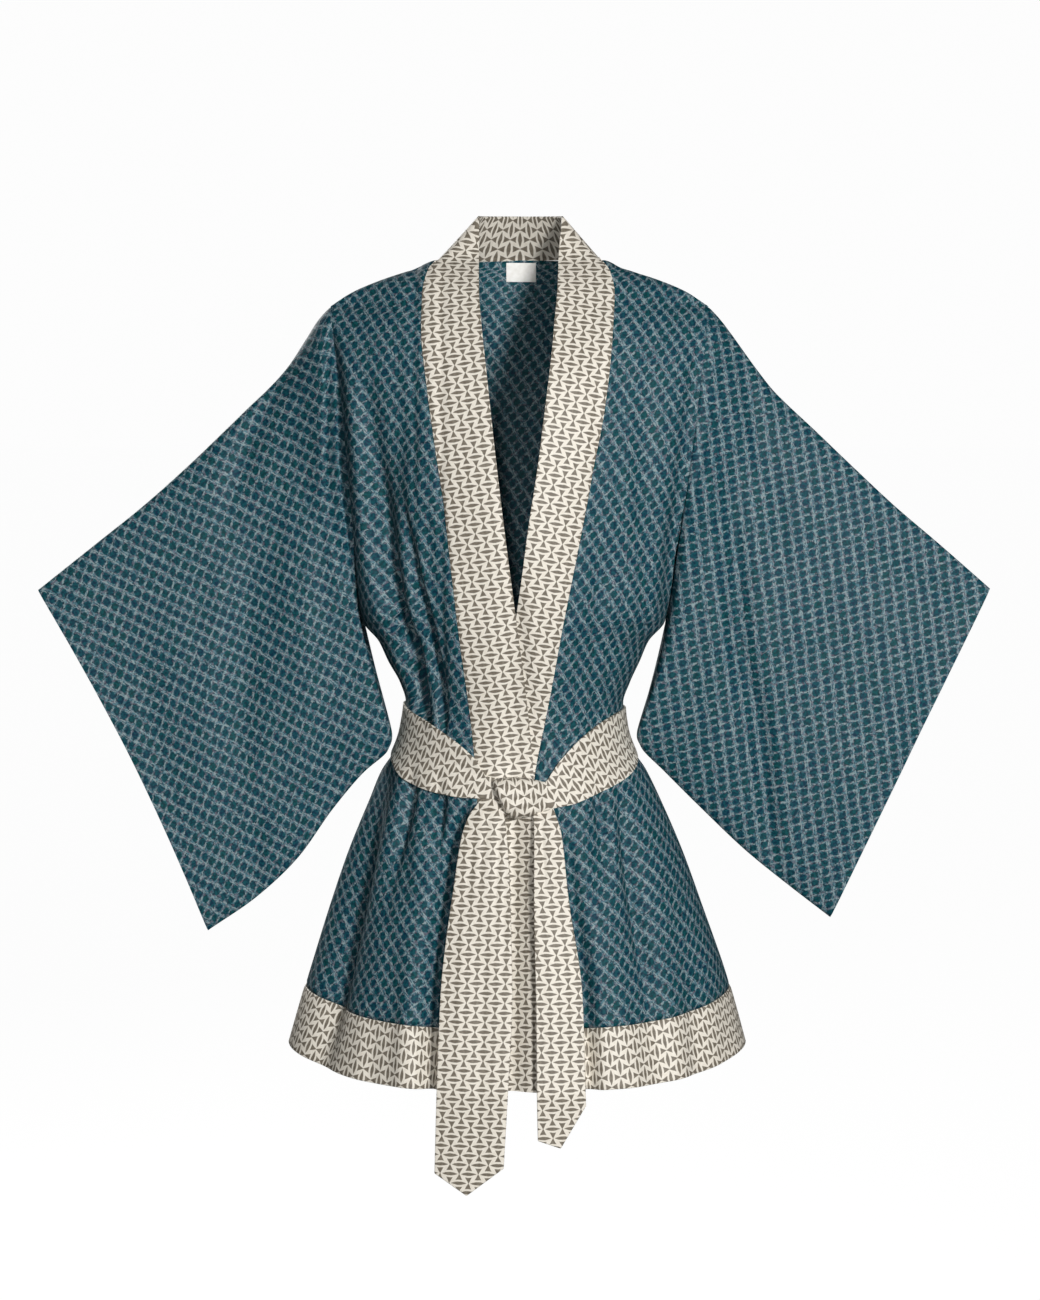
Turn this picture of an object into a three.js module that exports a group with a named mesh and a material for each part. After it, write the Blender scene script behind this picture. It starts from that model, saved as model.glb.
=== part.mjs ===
// A belted kimono robe, filled out as it is worn, with nobody inside it.
// Millimetres, +Z up, -Y to the front, +X to the wearer's left.
// The origin is on the shoulders, midway between the two points where they meet the neck.

import * as THREE from 'three';
import { mergeVertices } from 'three/addons/utils/BufferGeometryUtils.js';

// Cloth: one layer of print cloth, a band folded double, and the gaps at seams and between layers.
const CLOTH = 1.2;
const BAND = 2.4;
const SEAM_GAP = 0.3;
const LAYER_GAP = 0.8;
// The neckband and the hem band stand this far proud of the panels that they are sewn to.
const BAND_LIFT = 1.0;
const HEM_LIFT = 0.6;
// The belt and its hanging ends lie over the neckband: the height of their outer face.
const TOP_LIFT = BAND_LIFT + LAYER_GAP + BAND;

// The general figure that the robe hangs on: half widths from the middle, and heights.
const NECK = { half: 79, nape: 72 };
const SHOULDER_TIP = { half: 186, z: -45 };
const UNDERARM = { half: 151, z: -358 };
const HEM = { sideZ: -785, frontZ: -804, curve: 4 };
// The hem band's seam, as a share of the way from the underarm to the hem.
const HEM_SEAM = 0.866;
// The cloth rounds over the shoulder within a drop that grows towards the neck.
const ROUNDING = { shoulder: 70, neck: 130, from: 130, to: 50 };
// The armhole's half depth, front and back, and how square its oval is.
const ARMHOLE = { front: 54, back: 60, power: 0.6 };
// Over this height above the underarm the body's side closes from an arch to a half oval.
const SIDE_CLOSING = 110;

// The body's level sections: half width, how far its middle lies to the left, and its depths.
const BODY = [
  { z: 60, half: 186, centre: 5.0, front: 70, back: 78 },
  { z: -45, half: 186, centre: 5.0, front: 80, back: 84 },
  { z: -120, half: 178, centre: 4.5, front: 97, back: 94 },
  { z: -200, half: 169, centre: 3.0, front: 110, back: 98 },
  { z: -280, half: 160, centre: 1.0, front: 113, back: 96 },
  { z: -358, half: 151, centre: -0.5, front: 107, back: 89 },
  { z: -378, half: 135, centre: -0.8, front: 104, back: 87 },
  { z: -398, half: 126, centre: -0.5, front: 101, back: 85 },
  { z: -420, half: 115, centre: 0.5, front: 97, back: 82 },
  { z: -440, half: 109, centre: 0.0, front: 94, back: 80 },
  { z: -465, half: 112, centre: -0.5, front: 92, back: 79 },
  { z: -489, half: 120, centre: -0.5, front: 92, back: 81 },
  { z: -509, half: 133, centre: -0.5, front: 95, back: 85 },
  { z: -540, half: 147, centre: 0.5, front: 101, back: 93 },
  { z: -590, half: 168, centre: 1.0, front: 111, back: 104 },
  { z: -641, half: 186, centre: 1.5, front: 121, back: 115 },
  { z: -723, half: 213, centre: 3.0, front: 137, back: 131 },
  { z: -804, half: 236, centre: 2.5, front: 152, back: 146 },
];

// The top of the shoulder: its height at a distance from the middle.
const SHOULDER_LINE = [
  { out: 0, z: 0 },
  { out: 79, z: 0 },
  { out: 107, z: -10 },
  { out: 138, z: -20 },
  { out: 164, z: -30 },
  { out: 180, z: -40 },
  { out: 186, z: -45 },
  { out: 240, z: -95 },
];

// The neckband's two edges on each front: its seam to the panel, and its fold round the opening.
const BAND_RIGHT = [
  { seamZ: 0, seamX: -74, foldX: -35, foldZ: 42 },
  { seamZ: -9, seamX: -84, foldX: -35, foldZ: 4 },
  { seamZ: -35, seamX: -90, foldX: -34.5, foldZ: -30 },
  { seamZ: -66, seamX: -90.5, foldX: -32, foldZ: -62 },
  { seamZ: -120, seamX: -85, foldX: -26.5, foldZ: -112 },
  { seamZ: -185, seamX: -76, foldX: -19.5, foldZ: -176 },
  { seamZ: -263, seamX: -65.5, foldX: -10.5, foldZ: -254 },
  { seamZ: -358, seamX: -54.5, foldX: 2, foldZ: -350 },
  { seamZ: -481, seamX: -39.4, foldX: 16.5, foldZ: -474 },
  { seamZ: -560, seamX: -35, foldX: 21.5, foldZ: -558 },
  { seamZ: -804, seamX: -35, foldX: 22.5, foldZ: -804 },
];
const BAND_LEFT = [
  { seamZ: 0, seamX: 84, foldX: 47, foldZ: 42 },
  { seamZ: -11, seamX: 93, foldX: 43.5, foldZ: 4 },
  { seamZ: -32, seamX: 98, foldX: 42, foldZ: -28 },
  { seamZ: -58, seamX: 96.6, foldX: 39.5, foldZ: -54 },
  { seamZ: -98, seamX: 93.3, foldX: 36, foldZ: -91 },
  { seamZ: -152, seamX: 86.3, foldX: 29.5, foldZ: -144 },
  { seamZ: -207, seamX: 75.8, foldX: 22.5, foldZ: -199 },
  { seamZ: -262, seamX: 65.3, foldX: 14, foldZ: -255 },
  { seamZ: -358, seamX: 46.5, foldX: 1, foldZ: -352 },
  { seamZ: -420, seamX: 35.5, foldX: -13, foldZ: -414 },
  { seamZ: -509, seamX: 19.2, foldX: -33, foldZ: -503 },
  { seamZ: -560, seamX: 14, foldX: -42, foldZ: -558 },
  { seamZ: -804, seamX: 5, foldX: -52, foldZ: -804 },
];
// Beside the neck the fold stands off the chest: its depth there, and how far it lies on the chest.
const NECK_FOLD = [
  { seamZ: 0, y: 8, onChest: 0 },
  { seamZ: -10, y: -15, onChest: 0.2 },
  { seamZ: -34, y: -46, onChest: 0.8 },
  { seamZ: -62, y: -70, onChest: 1 },
  { seamZ: -900, y: -90, onChest: 1 },
];
// Behind the neck the fold is a half oval round this point.
const NAPE_FOLD = { x: 6, half: 41, y: 8, back: 28, z: 42.5 };

// The left front goes this far in where the right front laps over it, easing over the width.
const LAP = { depth: 3.6, ease: 16, fromZ: -290, fullZ: -345 };

// Folds pressed into the body's cloth, from one place to another. A negative depth is a ridge.
// The power says how fast a fold fades towards its ends: the lower, the nearer to them.
const FOLD_FADE = 0.8;
const FRONT_FOLDS = [
  { x0: -140, z0: -110, x1: -124, z1: -345, width: 13, depth: 12 },
  { x0: -122, z0: -290, x1: -84, z1: -450, width: 10, depth: 10 },
  { x0: -88, z0: -235, x1: -69, z1: -450, width: 9, depth: 6 },
  { x0: -104, z0: -160, x1: -102, z1: -420, width: 12, depth: -6 },
  { x0: 128, z0: -110, x1: 126, z1: -300, width: 13, depth: 6 },
  { x0: 90, z0: -270, x1: 76, z1: -445, width: 11, depth: 6 },
  { x0: -98, z0: -500, x1: -116, z1: -640, width: 9, depth: 6 },
  { x0: -72, z0: -510, x1: -76, z1: -610, width: 8, depth: 6 },
  { x0: -142, z0: -530, x1: -186, z1: -880, width: 24, depth: 12 },
  { x0: -120, z0: -640, x1: -136, z1: -930, width: 18, depth: 6 },
  { x0: 80, z0: -515, x1: 86, z1: -640, width: 9, depth: 5 },
  { x0: 106, z0: -525, x1: 144, z1: -900, width: 15, depth: 9 },
  { x0: 160, z0: -590, x1: 206, z1: -930, width: 18, depth: 8 },
];
const BACK_FOLDS = [
  { x0: -122, z0: -110, x1: -90, z1: -440, width: 15, depth: 10 },
  { x0: 124, z0: -120, x1: 90, z1: -440, width: 14, depth: 9 },
  { x0: -54, z0: -220, x1: -44, z1: -440, width: 12, depth: 6 },
  { x0: 42, z0: -200, x1: 42, z1: -440, width: 12, depth: 6 },
  { x0: -96, z0: -495, x1: -158, z1: -930, width: 20, depth: 12 },
  { x0: -30, z0: -500, x1: -54, z1: -930, width: 18, depth: 10 },
  { x0: 36, z0: -500, x1: 60, z1: -930, width: 18, depth: 10 },
  { x0: 100, z0: -495, x1: 164, z1: -930, width: 20, depth: 12 },
];

// Each sleeve hangs as a flat tube. A row is one line across it, from its top edge to its bottom
// edge, with half its depth in front and behind and how far it bows towards the body.
const SLEEVE_RIGHT = [
  { topX: -181, topZ: -45, bottomX: -151.5, bottomZ: -358, front: 54, back: 60, bow: 0 },
  { topX: -194, topZ: -59, bottomX: -150, bottomZ: -380, front: 55, back: 58, bow: 0 },
  { topX: -207, topZ: -79, bottomX: -143, bottomZ: -405, front: 52, back: 52, bow: 0 },
  { topX: -225, topZ: -106, bottomX: -132, bottomZ: -438, front: 44, back: 44, bow: 1 },
  { topX: -245, topZ: -128, bottomX: -122.5, bottomZ: -474, front: 37, back: 38, bow: 3 },
  { topX: -261, topZ: -143, bottomX: -127, bottomZ: -489, front: 34, back: 35, bow: 4 },
  { topX: -288, topZ: -169, bottomX: -152, bottomZ: -512, front: 30, back: 31, bow: 6 },
  { topX: -326, topZ: -205, bottomX: -183, bottomZ: -549, front: 26, back: 27, bow: 8 },
  { topX: -369, topZ: -243, bottomX: -218, bottomZ: -598, front: 22, back: 24, bow: 9 },
  { topX: -418, topZ: -282, bottomX: -260, bottomZ: -638, front: 19, back: 21, bow: 10 },
  { topX: -475.5, topZ: -327.5, bottomX: -309, bottomZ: -672, front: 17, back: 18, bow: 10 },
];
const SLEEVE_LEFT = [
  { topX: 191, topZ: -45, bottomX: 150.5, bottomZ: -358, front: 54, back: 60, bow: 0 },
  { topX: 204, topZ: -59, bottomX: 149, bottomZ: -380, front: 53, back: 57, bow: 0 },
  { topX: 217, topZ: -76, bottomX: 142, bottomZ: -405, front: 49, back: 51, bow: 0 },
  { topX: 238, topZ: -105, bottomX: 132, bottomZ: -440, front: 42, back: 44, bow: 0 },
  { topX: 257, topZ: -129, bottomX: 122.5, bottomZ: -473, front: 36, back: 38, bow: 0 },
  { topX: 270, topZ: -142, bottomX: 127, bottomZ: -486, front: 33, back: 35, bow: 0 },
  { topX: 297, topZ: -167, bottomX: 152, bottomZ: -512, front: 30, back: 31, bow: 0 },
  { topX: 336, topZ: -204, bottomX: 190, bottomZ: -550, front: 26, back: 27, bow: 1 },
  { topX: 378, topZ: -243, bottomX: 233, bottomZ: -591, front: 22, back: 24, bow: 2 },
  { topX: 424, topZ: -282, bottomX: 276, bottomZ: -626, front: 19, back: 21, bow: 2 },
  { topX: 474.5, topZ: -326, bottomX: 318, bottomZ: -658.5, front: 17, back: 18, bow: 2 },
];
// How square a sleeve's oval is at the cuff, and over which share of its length it leaves the
// armhole's own form and its folds begin.
const SLEEVE = { cuffPower: 0.42, easing: 0.25 };
// Folds in the sleeves, given by where they start and end, front and back alike.
const SLEEVE_FOLDS_RIGHT = [
  { x0: -248, z0: -145, x1: -290, z1: -660, width: 24, depth: 9 },
  { x0: -196, z0: -230, x1: -214, z1: -560, width: 20, depth: -6 },
  { x0: -350, z0: -300, x1: -268, z1: -620, width: 30, depth: -5 },
];
const SLEEVE_FOLDS_LEFT = [
  { x0: 224, z0: -190, x1: 268, z1: -640, width: 18, depth: 10 },
  { x0: 194, z0: -270, x1: 198, z1: -540, width: 20, depth: -5 },
  { x0: 410, z0: -310, x1: 322, z1: -610, width: 28, depth: -5 },
];

// The belt's edges: heights by the angle round the waist, -90 at the right side, 0 at the front.
const BELT_FRONT = [
  { angle: -90, top: -438, bottom: -490 },
  { angle: -70, top: -443, bottom: -500 },
  { angle: -50, top: -452, bottom: -513 },
  { angle: -32, top: -467, bottom: -521 },
  { angle: -19, top: -484, bottom: -524 },
  { angle: -11, top: -503, bottom: -524 },
  { angle: 12, top: -507, bottom: -535 },
  { angle: 22, top: -487, bottom: -531 },
  { angle: 38, top: -464, bottom: -520 },
  { angle: 55, top: -449, bottom: -510 },
  { angle: 72, top: -438, bottom: -500 },
  { angle: 90, top: -432, bottom: -490 },
];
const BELT_BACK = { top: -436, bottom: -490, dip: 4 };
// The belt's two sides meet under the knot, at this angle.
const BELT_MEETING = 1;

// The knot: middle, half sizes, depth, how square it is and how much it narrows below.
const KNOT = { x: 1, z: -525, halfX: 20, halfZ: 19, depth: 20, power: 0.7, taper: 0.3 };

// The two hanging ends of the belt: their side edges by height, and their pointed ends.
const TIE_LONG = {
  edges: [
    { z: -528, leftX: -33, rightX: -9 },
    { z: -540, leftX: -45, rightX: -11 },
    { z: -561, leftX: -52, rightX: -7 },
    { z: -598, leftX: -58, rightX: -5 },
    { z: -711, leftX: -72, rightX: -2 },
    { z: -800, leftX: -75.5, rightX: -6 },
    { z: -905, leftX: -78.5, rightX: -12 },
  ],
  end: [{ across: 0, z: -884 }, { across: 0.48, z: -905 }, { across: 1, z: -877 }],
};
const TIE_SHORT = {
  edges: [
    { z: -537, leftX: 12, rightX: 36 },
    { z: -556, leftX: 19, rightX: 45.5 },
    { z: -618, leftX: 19, rightX: 53 },
    { z: -711, leftX: 21, rightX: 66.3 },
    { z: -809, leftX: 22, rightX: 69.5 },
    { z: -857, leftX: 23, rightX: 71 },
  ],
  end: [{ across: 0, z: -849 }, { across: 0.46, z: -857 }, { across: 1, z: -815.6 }],
};

// The blank label sewn inside the back, under the neckband.
const LABEL = { x: 6.8, width: 31, topZ: -2.5, height: 19, thickness: 0.8 };

// How finely each piece is divided.
const STEPS = {
  armhole: 11, waist: 11, skirt: 6, hemBand: 2,
  front: 12, shoulder: 6, nape: 14,
  sleeve: 14, band: 4, beltSide: 14, beltBack: 20, beltWidth: 5, tieUpper: 11, tieLower: 3,
};
// The waist's rows end this far down from the underarm to the hem.
const WAIST_END = 0.36;

const TEAL = { color: 0x1d4f5a, roughness: 0.62, metalness: 0 };
const PALE = { color: 0xb9b1a2, roughness: 0.6, metalness: 0 };
const WHITE = { color: 0xeeece6, roughness: 0.7, metalness: 0 };

const clamp = (value, low, high) => Math.min(high, Math.max(low, value));
const mix = (a, b, share) => a + (b - a) * share;
const radians = (degrees) => (degrees * Math.PI) / 180;
const smooth = (share) => {
  const s = clamp(share, 0, 1);
  return s * s * (3 - 2 * s);
};

// A smooth curve through one column of a table, which doesn't overshoot between the rows.
function through(rows, at, column) {
  const ordered = [...rows].sort((a, b) => a[at] - b[at]);
  const xs = ordered.map((row) => row[at]);
  const ys = ordered.map((row) => row[column]);
  const steps = xs.slice(1).map((x, i) => (ys[i + 1] - ys[i]) / (x - xs[i]));
  const slopes = xs.map((_, i) => {
    const before = steps[Math.max(i - 1, 0)];
    const after = steps[Math.min(i, steps.length - 1)];
    return before * after > 0 ? (2 * before * after) / (before + after) : 0;
  });
  return (x) => {
    const inside = clamp(x, xs[0], xs[xs.length - 1]);
    let i = 0;
    while (i < xs.length - 2 && inside > xs[i + 1]) i += 1;
    const width = xs[i + 1] - xs[i];
    const s = (inside - xs[i]) / width;
    const keep = 2 * s ** 3 - 3 * s ** 2 + 1;
    const leave = s ** 3 - 2 * s ** 2 + s;
    const arrive = s ** 3 - s ** 2;
    return keep * ys[i] + leave * width * slopes[i] + (1 - keep) * ys[i + 1] + arrive * width * slopes[i + 1];
  };
}

const tableCurves = (rows, at, columns) => Object.fromEntries(
  columns.map((column) => [column, through(rows, at, column)]),
);

const body = tableCurves(BODY, 'z', ['half', 'centre', 'front', 'back']);
const shoulderHeight = through(SHOULDER_LINE, 'out', 'z');
const bandEdges = {
  right: tableCurves(BAND_RIGHT, 'seamZ', ['seamX', 'foldX', 'foldZ']),
  left: tableCurves(BAND_LEFT, 'seamZ', ['seamX', 'foldX', 'foldZ']),
};
const neckFold = tableCurves(NECK_FOLD, 'seamZ', ['y', 'onChest']);
// The lapping edge: where the right band's fold lies at a height.
const lappingEdge = through(BAND_RIGHT, 'foldZ', 'foldX');

// The depth of the folds at a place: each is a soft trough that dies away at its ends.
function foldDepth(folds, x, z) {
  return folds.reduce((total, fold) => {
    const run = new THREE.Vector2(fold.x1 - fold.x0, fold.z1 - fold.z0);
    const from = new THREE.Vector2(x - fold.x0, z - fold.z0);
    const along = from.dot(run) / run.lengthSq();
    if (along <= 0 || along >= 1) return total;
    const away = Math.abs(from.cross(run)) / run.length() / fold.width;
    return total + fold.depth * Math.sin(Math.PI * along) ** FOLD_FADE * Math.exp(-away * away);
  }, 0);
}

const armholeShare = (z) => clamp((SHOULDER_TIP.z - z) / (SHOULDER_TIP.z - UNDERARM.z), 0, 1);
const armholeDepth = (face, share) => (
  ARMHOLE[face] * Math.sin(Math.PI * clamp(share, 0, 1)) ** ARMHOLE.power
);

// How far the cloth has rounded over the shoulder, from 0 on its top to 1.
function shoulderRound(face, out, z) {
  const nearNeck = smooth((ROUNDING.from - out) / (ROUNDING.from - ROUNDING.to));
  const height = mix(ROUNDING.shoulder, ROUNDING.neck, nearNeck);
  const drop = clamp((shoulderHeight(out) - z) / height, 0, 1);
  const arch = Math.sqrt(1 - (1 - drop) ** 2);
  if (face === 'front' || out > NECK.half) return arch;
  const underNape = 1 - (out / NECK.half) ** 2;
  return mix(arch, Math.sin((drop * Math.PI) / 2), underNape);
}

// A point of the body's cloth before its folds: an angle round it and a height.
function bodyForm(face, angle, z) {
  const across = Math.sin(angle);
  const out = Math.abs(across) * body.half(z);
  const napeArc = face === 'back' && out < NECK.half ? NECK.nape * Math.sqrt(1 - (out / NECK.half) ** 2) : 0;
  const full = mix(napeArc, body[face](z), shoulderRound(face, out, z));
  const edge = armholeDepth(face, armholeShare(z));
  const closed = z <= UNDERARM.z ? 1 : smooth((UNDERARM.z + SIDE_CLOSING - z) / SIDE_CLOSING);
  const arch = mix(Math.cos((Math.abs(across) * Math.PI) / 2), Math.cos(angle), closed);
  const depth = edge + (full - edge) * arch;
  const x = body.centre(z) + across * body.half(z);
  return new THREE.Vector3(x, face === 'front' ? -depth : depth, z);
}

// The outward direction of a surface that takes two numbers, away from a point inside it.
function outward(surface, a, b, stepA, stepB, inside) {
  const alongA = surface(a + stepA, b).sub(surface(a - stepA, b));
  const alongB = surface(a, b + stepB).sub(surface(a, b - stepB));
  const normal = alongA.cross(alongB).normalize();
  return normal.dot(surface(a, b).sub(inside)) < 0 ? normal.negate() : normal;
}

// A point on the body's cloth with its folds, lifted off it by some distance.
function onBody(face, angle, z, lift) {
  const edge = Math.PI / 2 - 0.03;
  const form = (a, height) => bodyForm(face, a, height);
  const point = form(angle, z);
  const inside = new THREE.Vector3(body.centre(z), 0, z - 60);
  const normal = outward(form, clamp(angle, -edge, edge), z, 0.02, 1.5, inside);
  const folds = foldDepth(face === 'front' ? FRONT_FOLDS : BACK_FOLDS, point.x, z);
  return point.addScaledVector(normal, lift - folds * Math.cos(angle));
}

// The same point, given by how far across it is instead of by its angle.
function acrossBody(face, x, z, lift) {
  const share = clamp((x - body.centre(z)) / body.half(z), -1, 1);
  return onBody(face, Math.asin(share), z, lift);
}

// How far the left front's layers go in, under the lapping edge of the right front.
function lapUnder(x, z) {
  const lower = smooth((LAP.fromZ - z) / (LAP.fromZ - LAP.fullZ));
  return -LAP.depth * lower * smooth((lappingEdge(z) + LAP.ease - x) / LAP.ease);
}

// Heights: rows go from 0 at the shoulder to 1 at the underarm and 2 at the hem.
const sideHeight = (row) => (row < 1
  ? mix(SHOULDER_TIP.z, UNDERARM.z, row)
  : mix(UNDERARM.z, HEM.sideZ, row - 1));
const frontHeight = (row) => (row < 1 ? UNDERARM.z * row : mix(UNDERARM.z, HEM.frontZ, row - 1));

const evenly = (from, to, steps) => Array.from({ length: steps + 1 }, (_, i) => mix(from, to, i / steps));
// Shares from 0 to 1 that are closer together at both ends.
const closerAtEnds = (steps) => evenly(0, Math.PI, steps).map((turn) => (1 - Math.cos(turn)) / 2);

const ARMHOLE_ROWS = closerAtEnds(STEPS.armhole);
const PANEL_ROWS = [
  ...ARMHOLE_ROWS,
  ...evenly(1, 1 + WAIST_END, STEPS.waist).slice(1),
  ...evenly(1 + WAIST_END, 1 + HEM_SEAM, STEPS.skirt).slice(1),
];
const HEM_ROWS = evenly(1 + HEM_SEAM, 2, STEPS.hemBand);

// The height of a row at a share of the way to the body's side. Above the underarm it follows the
// shoulder, where this share is so far out at the top, and below it the hem's curve.
function rowHeight(row, angle, share, outAtTop) {
  const toSide = row < 1 ? share : Math.abs(Math.sin(angle)) ** HEM.curve;
  const plain = mix(frontHeight(row), sideHeight(row), toSide);
  const overPlain = shoulderHeight(outAtTop * SHOULDER_TIP.half) - mix(0, SHOULDER_TIP.z, share);
  return plain + overPlain * Math.max(1 - row, 0) ** 2;
}

// A closed wall between two grids of points, one on each face of the cloth.
function wallGeometry(outer, inner) {
  const rows = outer.length;
  const columns = outer[0].length;
  const layer = rows * columns;
  const at = (side, row, column) => side * layer + row * columns + column;
  const index = [];
  const quad = (a, b, c, d) => index.push(a, b, c, a, c, d);
  for (let r = 0; r < rows - 1; r += 1) {
    for (let c = 0; c < columns - 1; c += 1) {
      quad(at(0, r, c), at(0, r + 1, c), at(0, r + 1, c + 1), at(0, r, c + 1));
      quad(at(1, r, c), at(1, r, c + 1), at(1, r + 1, c + 1), at(1, r + 1, c));
    }
  }
  for (let c = 0; c < columns - 1; c += 1) {
    quad(at(0, 0, c), at(0, 0, c + 1), at(1, 0, c + 1), at(1, 0, c));
    quad(at(0, rows - 1, c), at(1, rows - 1, c), at(1, rows - 1, c + 1), at(0, rows - 1, c + 1));
  }
  for (let r = 0; r < rows - 1; r += 1) {
    quad(at(0, r, 0), at(1, r, 0), at(1, r + 1, 0), at(0, r + 1, 0));
    quad(at(0, r, columns - 1), at(0, r + 1, columns - 1), at(1, r + 1, columns - 1), at(1, r, columns - 1));
  }
  const positions = [...outer.flat(), ...inner.flat()].flatMap((point) => point.toArray());
  return facingOut(positions, index);
}

// A geometry whose triangles are turned round if they face into it.
function facingOut(positions, index) {
  const corner = (i) => new THREE.Vector3().fromArray(positions, 3 * index[i]);
  let volume = 0;
  for (let i = 0; i < index.length; i += 3) {
    volume += corner(i).dot(corner(i + 1).cross(corner(i + 2)));
  }
  if (volume < 0) {
    for (let i = 0; i < index.length; i += 3) [index[i], index[i + 1]] = [index[i + 1], index[i]];
  }
  const geometry = new THREE.BufferGeometry();
  geometry.setAttribute('position', new THREE.Float32BufferAttribute(positions, 3));
  geometry.setIndex(index);
  geometry.computeVertexNormals();
  return geometry;
}

// The steps that pull the points of an edge square away from it, towards the line next to it.
function pullsFrom(edge, nextLine) {
  return edge.map((point, i) => {
    const tangent = edge[Math.min(i + 1, edge.length - 1)].clone().sub(edge[Math.max(i - 1, 0)]).normalize();
    const step = nextLine[i].clone().sub(point);
    return step.addScaledVector(tangent, -step.dot(tangent)).setLength(SEAM_GAP / 2);
  });
}

// A copy of a grid with its four edges pulled in from the seams.
function pulledFromSeams(grid) {
  const pulled = grid.map((row) => row.map((point) => point.clone()));
  const last = grid.length - 1;
  const end = grid[0].length - 1;
  const columnOf = (c) => grid.map((row) => row[c]);
  pullsFrom(grid[0], grid[1]).forEach((step, c) => pulled[0][c].add(step));
  pullsFrom(grid[last], grid[last - 1]).forEach((step, c) => pulled[last][c].add(step));
  pullsFrom(columnOf(0), columnOf(1)).forEach((step, r) => pulled[r][0].add(step));
  pullsFrom(columnOf(end), columnOf(end - 1)).forEach((step, r) => pulled[r][end].add(step));
  return pulled;
}

// A wall of cloth from a grid of places: each gives its outer point and its way through the cloth.
function clothWall(places) {
  const outer = pulledFromSeams(places.map((row) => row.map((place) => place.point)));
  const inner = outer.map((row, r) => row.map((point, c) => point.clone().add(places[r][c].through)));
  return wallGeometry(outer, inner);
}

function clothMesh(name, geometry, finish) {
  const mesh = new THREE.Mesh(geometry, new THREE.MeshStandardMaterial(finish));
  mesh.name = name;
  return mesh;
}

// The places of a grid, worked out from the lists of its rows and its columns.
const gridOf = (rows, columns, place) => rows.map((row) => columns.map((column) => place(row, column)));

// How far a point of the top row is on the shoulder's seam instead of on the neck's.
function shoulderShare(face, angle) {
  const out = Math.abs(Math.sin(angle)) * SHOULDER_TIP.half;
  return face === 'front' ? 1 : clamp(out / NECK.half, 0, 1) ** 6;
}

// The way through a wall is square to its surface, except along an edge that meets another piece,
// where both pieces take the same way.
function bodyPlace(face, angle, row, z, wall) {
  const base = onBody(face, angle, z, wall.under);
  const way = onBody(face, angle, z, wall.under - 1).sub(base);
  const atSide = Math.abs(Math.abs(angle) - Math.PI / 2) < 1e-6;
  if (row === 0) way.lerp(new THREE.Vector3(0, 0, -1), shoulderShare(face, angle)).normalize();
  else if (atSide && row < 1) way.set(0, face === 'front' ? 1 : -1, 0);
  else if (atSide) way.set(-Math.sign(angle), 0, 0);
  return {
    point: base.addScaledVector(way, -wall.lift),
    through: way.clone().multiplyScalar(wall.thickness),
  };
}

// Walls: how far the outer face is lifted, how thick the wall is, and how far it is pushed under.
const PANEL_WALL = { lift: 0, thickness: CLOTH, under: 0 };
const HEM_WALL = { lift: HEM_LIFT, thickness: BAND, under: 0 };
const BAND_WALL = { lift: BAND_LIFT, thickness: BAND, under: 0 };

// The angle of a front's edge, where the neckband is sewn on, on a row.
function frontEdgeAngle(side, row) {
  const z = frontHeight(row);
  const x = bandEdges[side].seamX(z);
  return Math.asin((x - body.centre(z)) / body.half(z));
}

function frontPiece(side, rows, wall) {
  const sideAngle = side === 'right' ? -Math.PI / 2 : Math.PI / 2;
  const topAngle = frontEdgeAngle(side, 0);
  return clothWall(gridOf(rows, evenly(0, 1, STEPS.front), (row, share) => {
    const angle = mix(frontEdgeAngle(side, row), sideAngle, share);
    const z = rowHeight(row, angle, share, Math.abs(Math.sin(mix(topAngle, sideAngle, share))));
    const x = body.centre(z) + Math.sin(angle) * body.half(z);
    const under = side === 'left' ? lapUnder(x, z) : 0;
    return bodyPlace('front', angle, row, z, { ...wall, under });
  }));
}

// The back's columns go from side to side and crowd together under the neck.
function backAngles() {
  const neckShare = NECK.half / SHOULDER_TIP.half;
  const turns = evenly(-Math.PI / 2, Math.PI / 2, STEPS.nape);
  const neck = turns.map((turn) => Math.asin(neckShare * Math.sin(turn)));
  const shoulder = evenly(-Math.PI / 2, -Math.asin(neckShare), STEPS.shoulder);
  return [...shoulder.slice(0, -1), ...neck, ...shoulder.slice(0, -1).reverse().map((angle) => -angle)];
}

const backPiece = (rows, wall) => clothWall(gridOf(rows, backAngles(), (row, angle) => {
  const out = Math.abs(Math.sin(angle));
  return bodyPlace('back', angle, row, rowHeight(row, angle, out, out), wall);
}));

// The neckband on a front: a row down it, and a share across it from its seam to its fold.
function frontBandPoint(side, row, share) {
  const seamZ = frontHeight(row);
  const edges = bandEdges[side];
  const foldX = edges.foldX(seamZ);
  const foldZ = edges.foldZ(seamZ);
  const seam = bodyForm('front', frontEdgeAngle(side, row), seamZ);
  const x = mix(seam.x, foldX, share);
  const z = mix(seamZ, foldZ, share);
  const under = side === 'left' ? lapUnder(x, z) : 0;
  const chest = acrossBody('front', x, z, under);
  const standing = seam.clone().lerp(new THREE.Vector3(foldX, neckFold.y(seamZ), foldZ), share);
  return standing.lerp(chest, neckFold.onChest(seamZ));
}

// The neckband behind the neck: a turn round it from the middle of the back, and a share across.
function napeBandPoint(side, turn, share) {
  const sign = side === 'right' ? -1 : 1;
  const angle = sign * Math.asin((NECK.half / SHOULDER_TIP.half) * Math.sin(turn));
  const seam = bodyForm('back', angle, shoulderHeight(NECK.half * Math.sin(turn)));
  const fold = new THREE.Vector3(
    NAPE_FOLD.x + sign * NAPE_FOLD.half * Math.sin(turn),
    NAPE_FOLD.y + NAPE_FOLD.back * Math.cos(turn),
    NAPE_FOLD.z,
  );
  return seam.lerp(fold, share);
}

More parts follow.
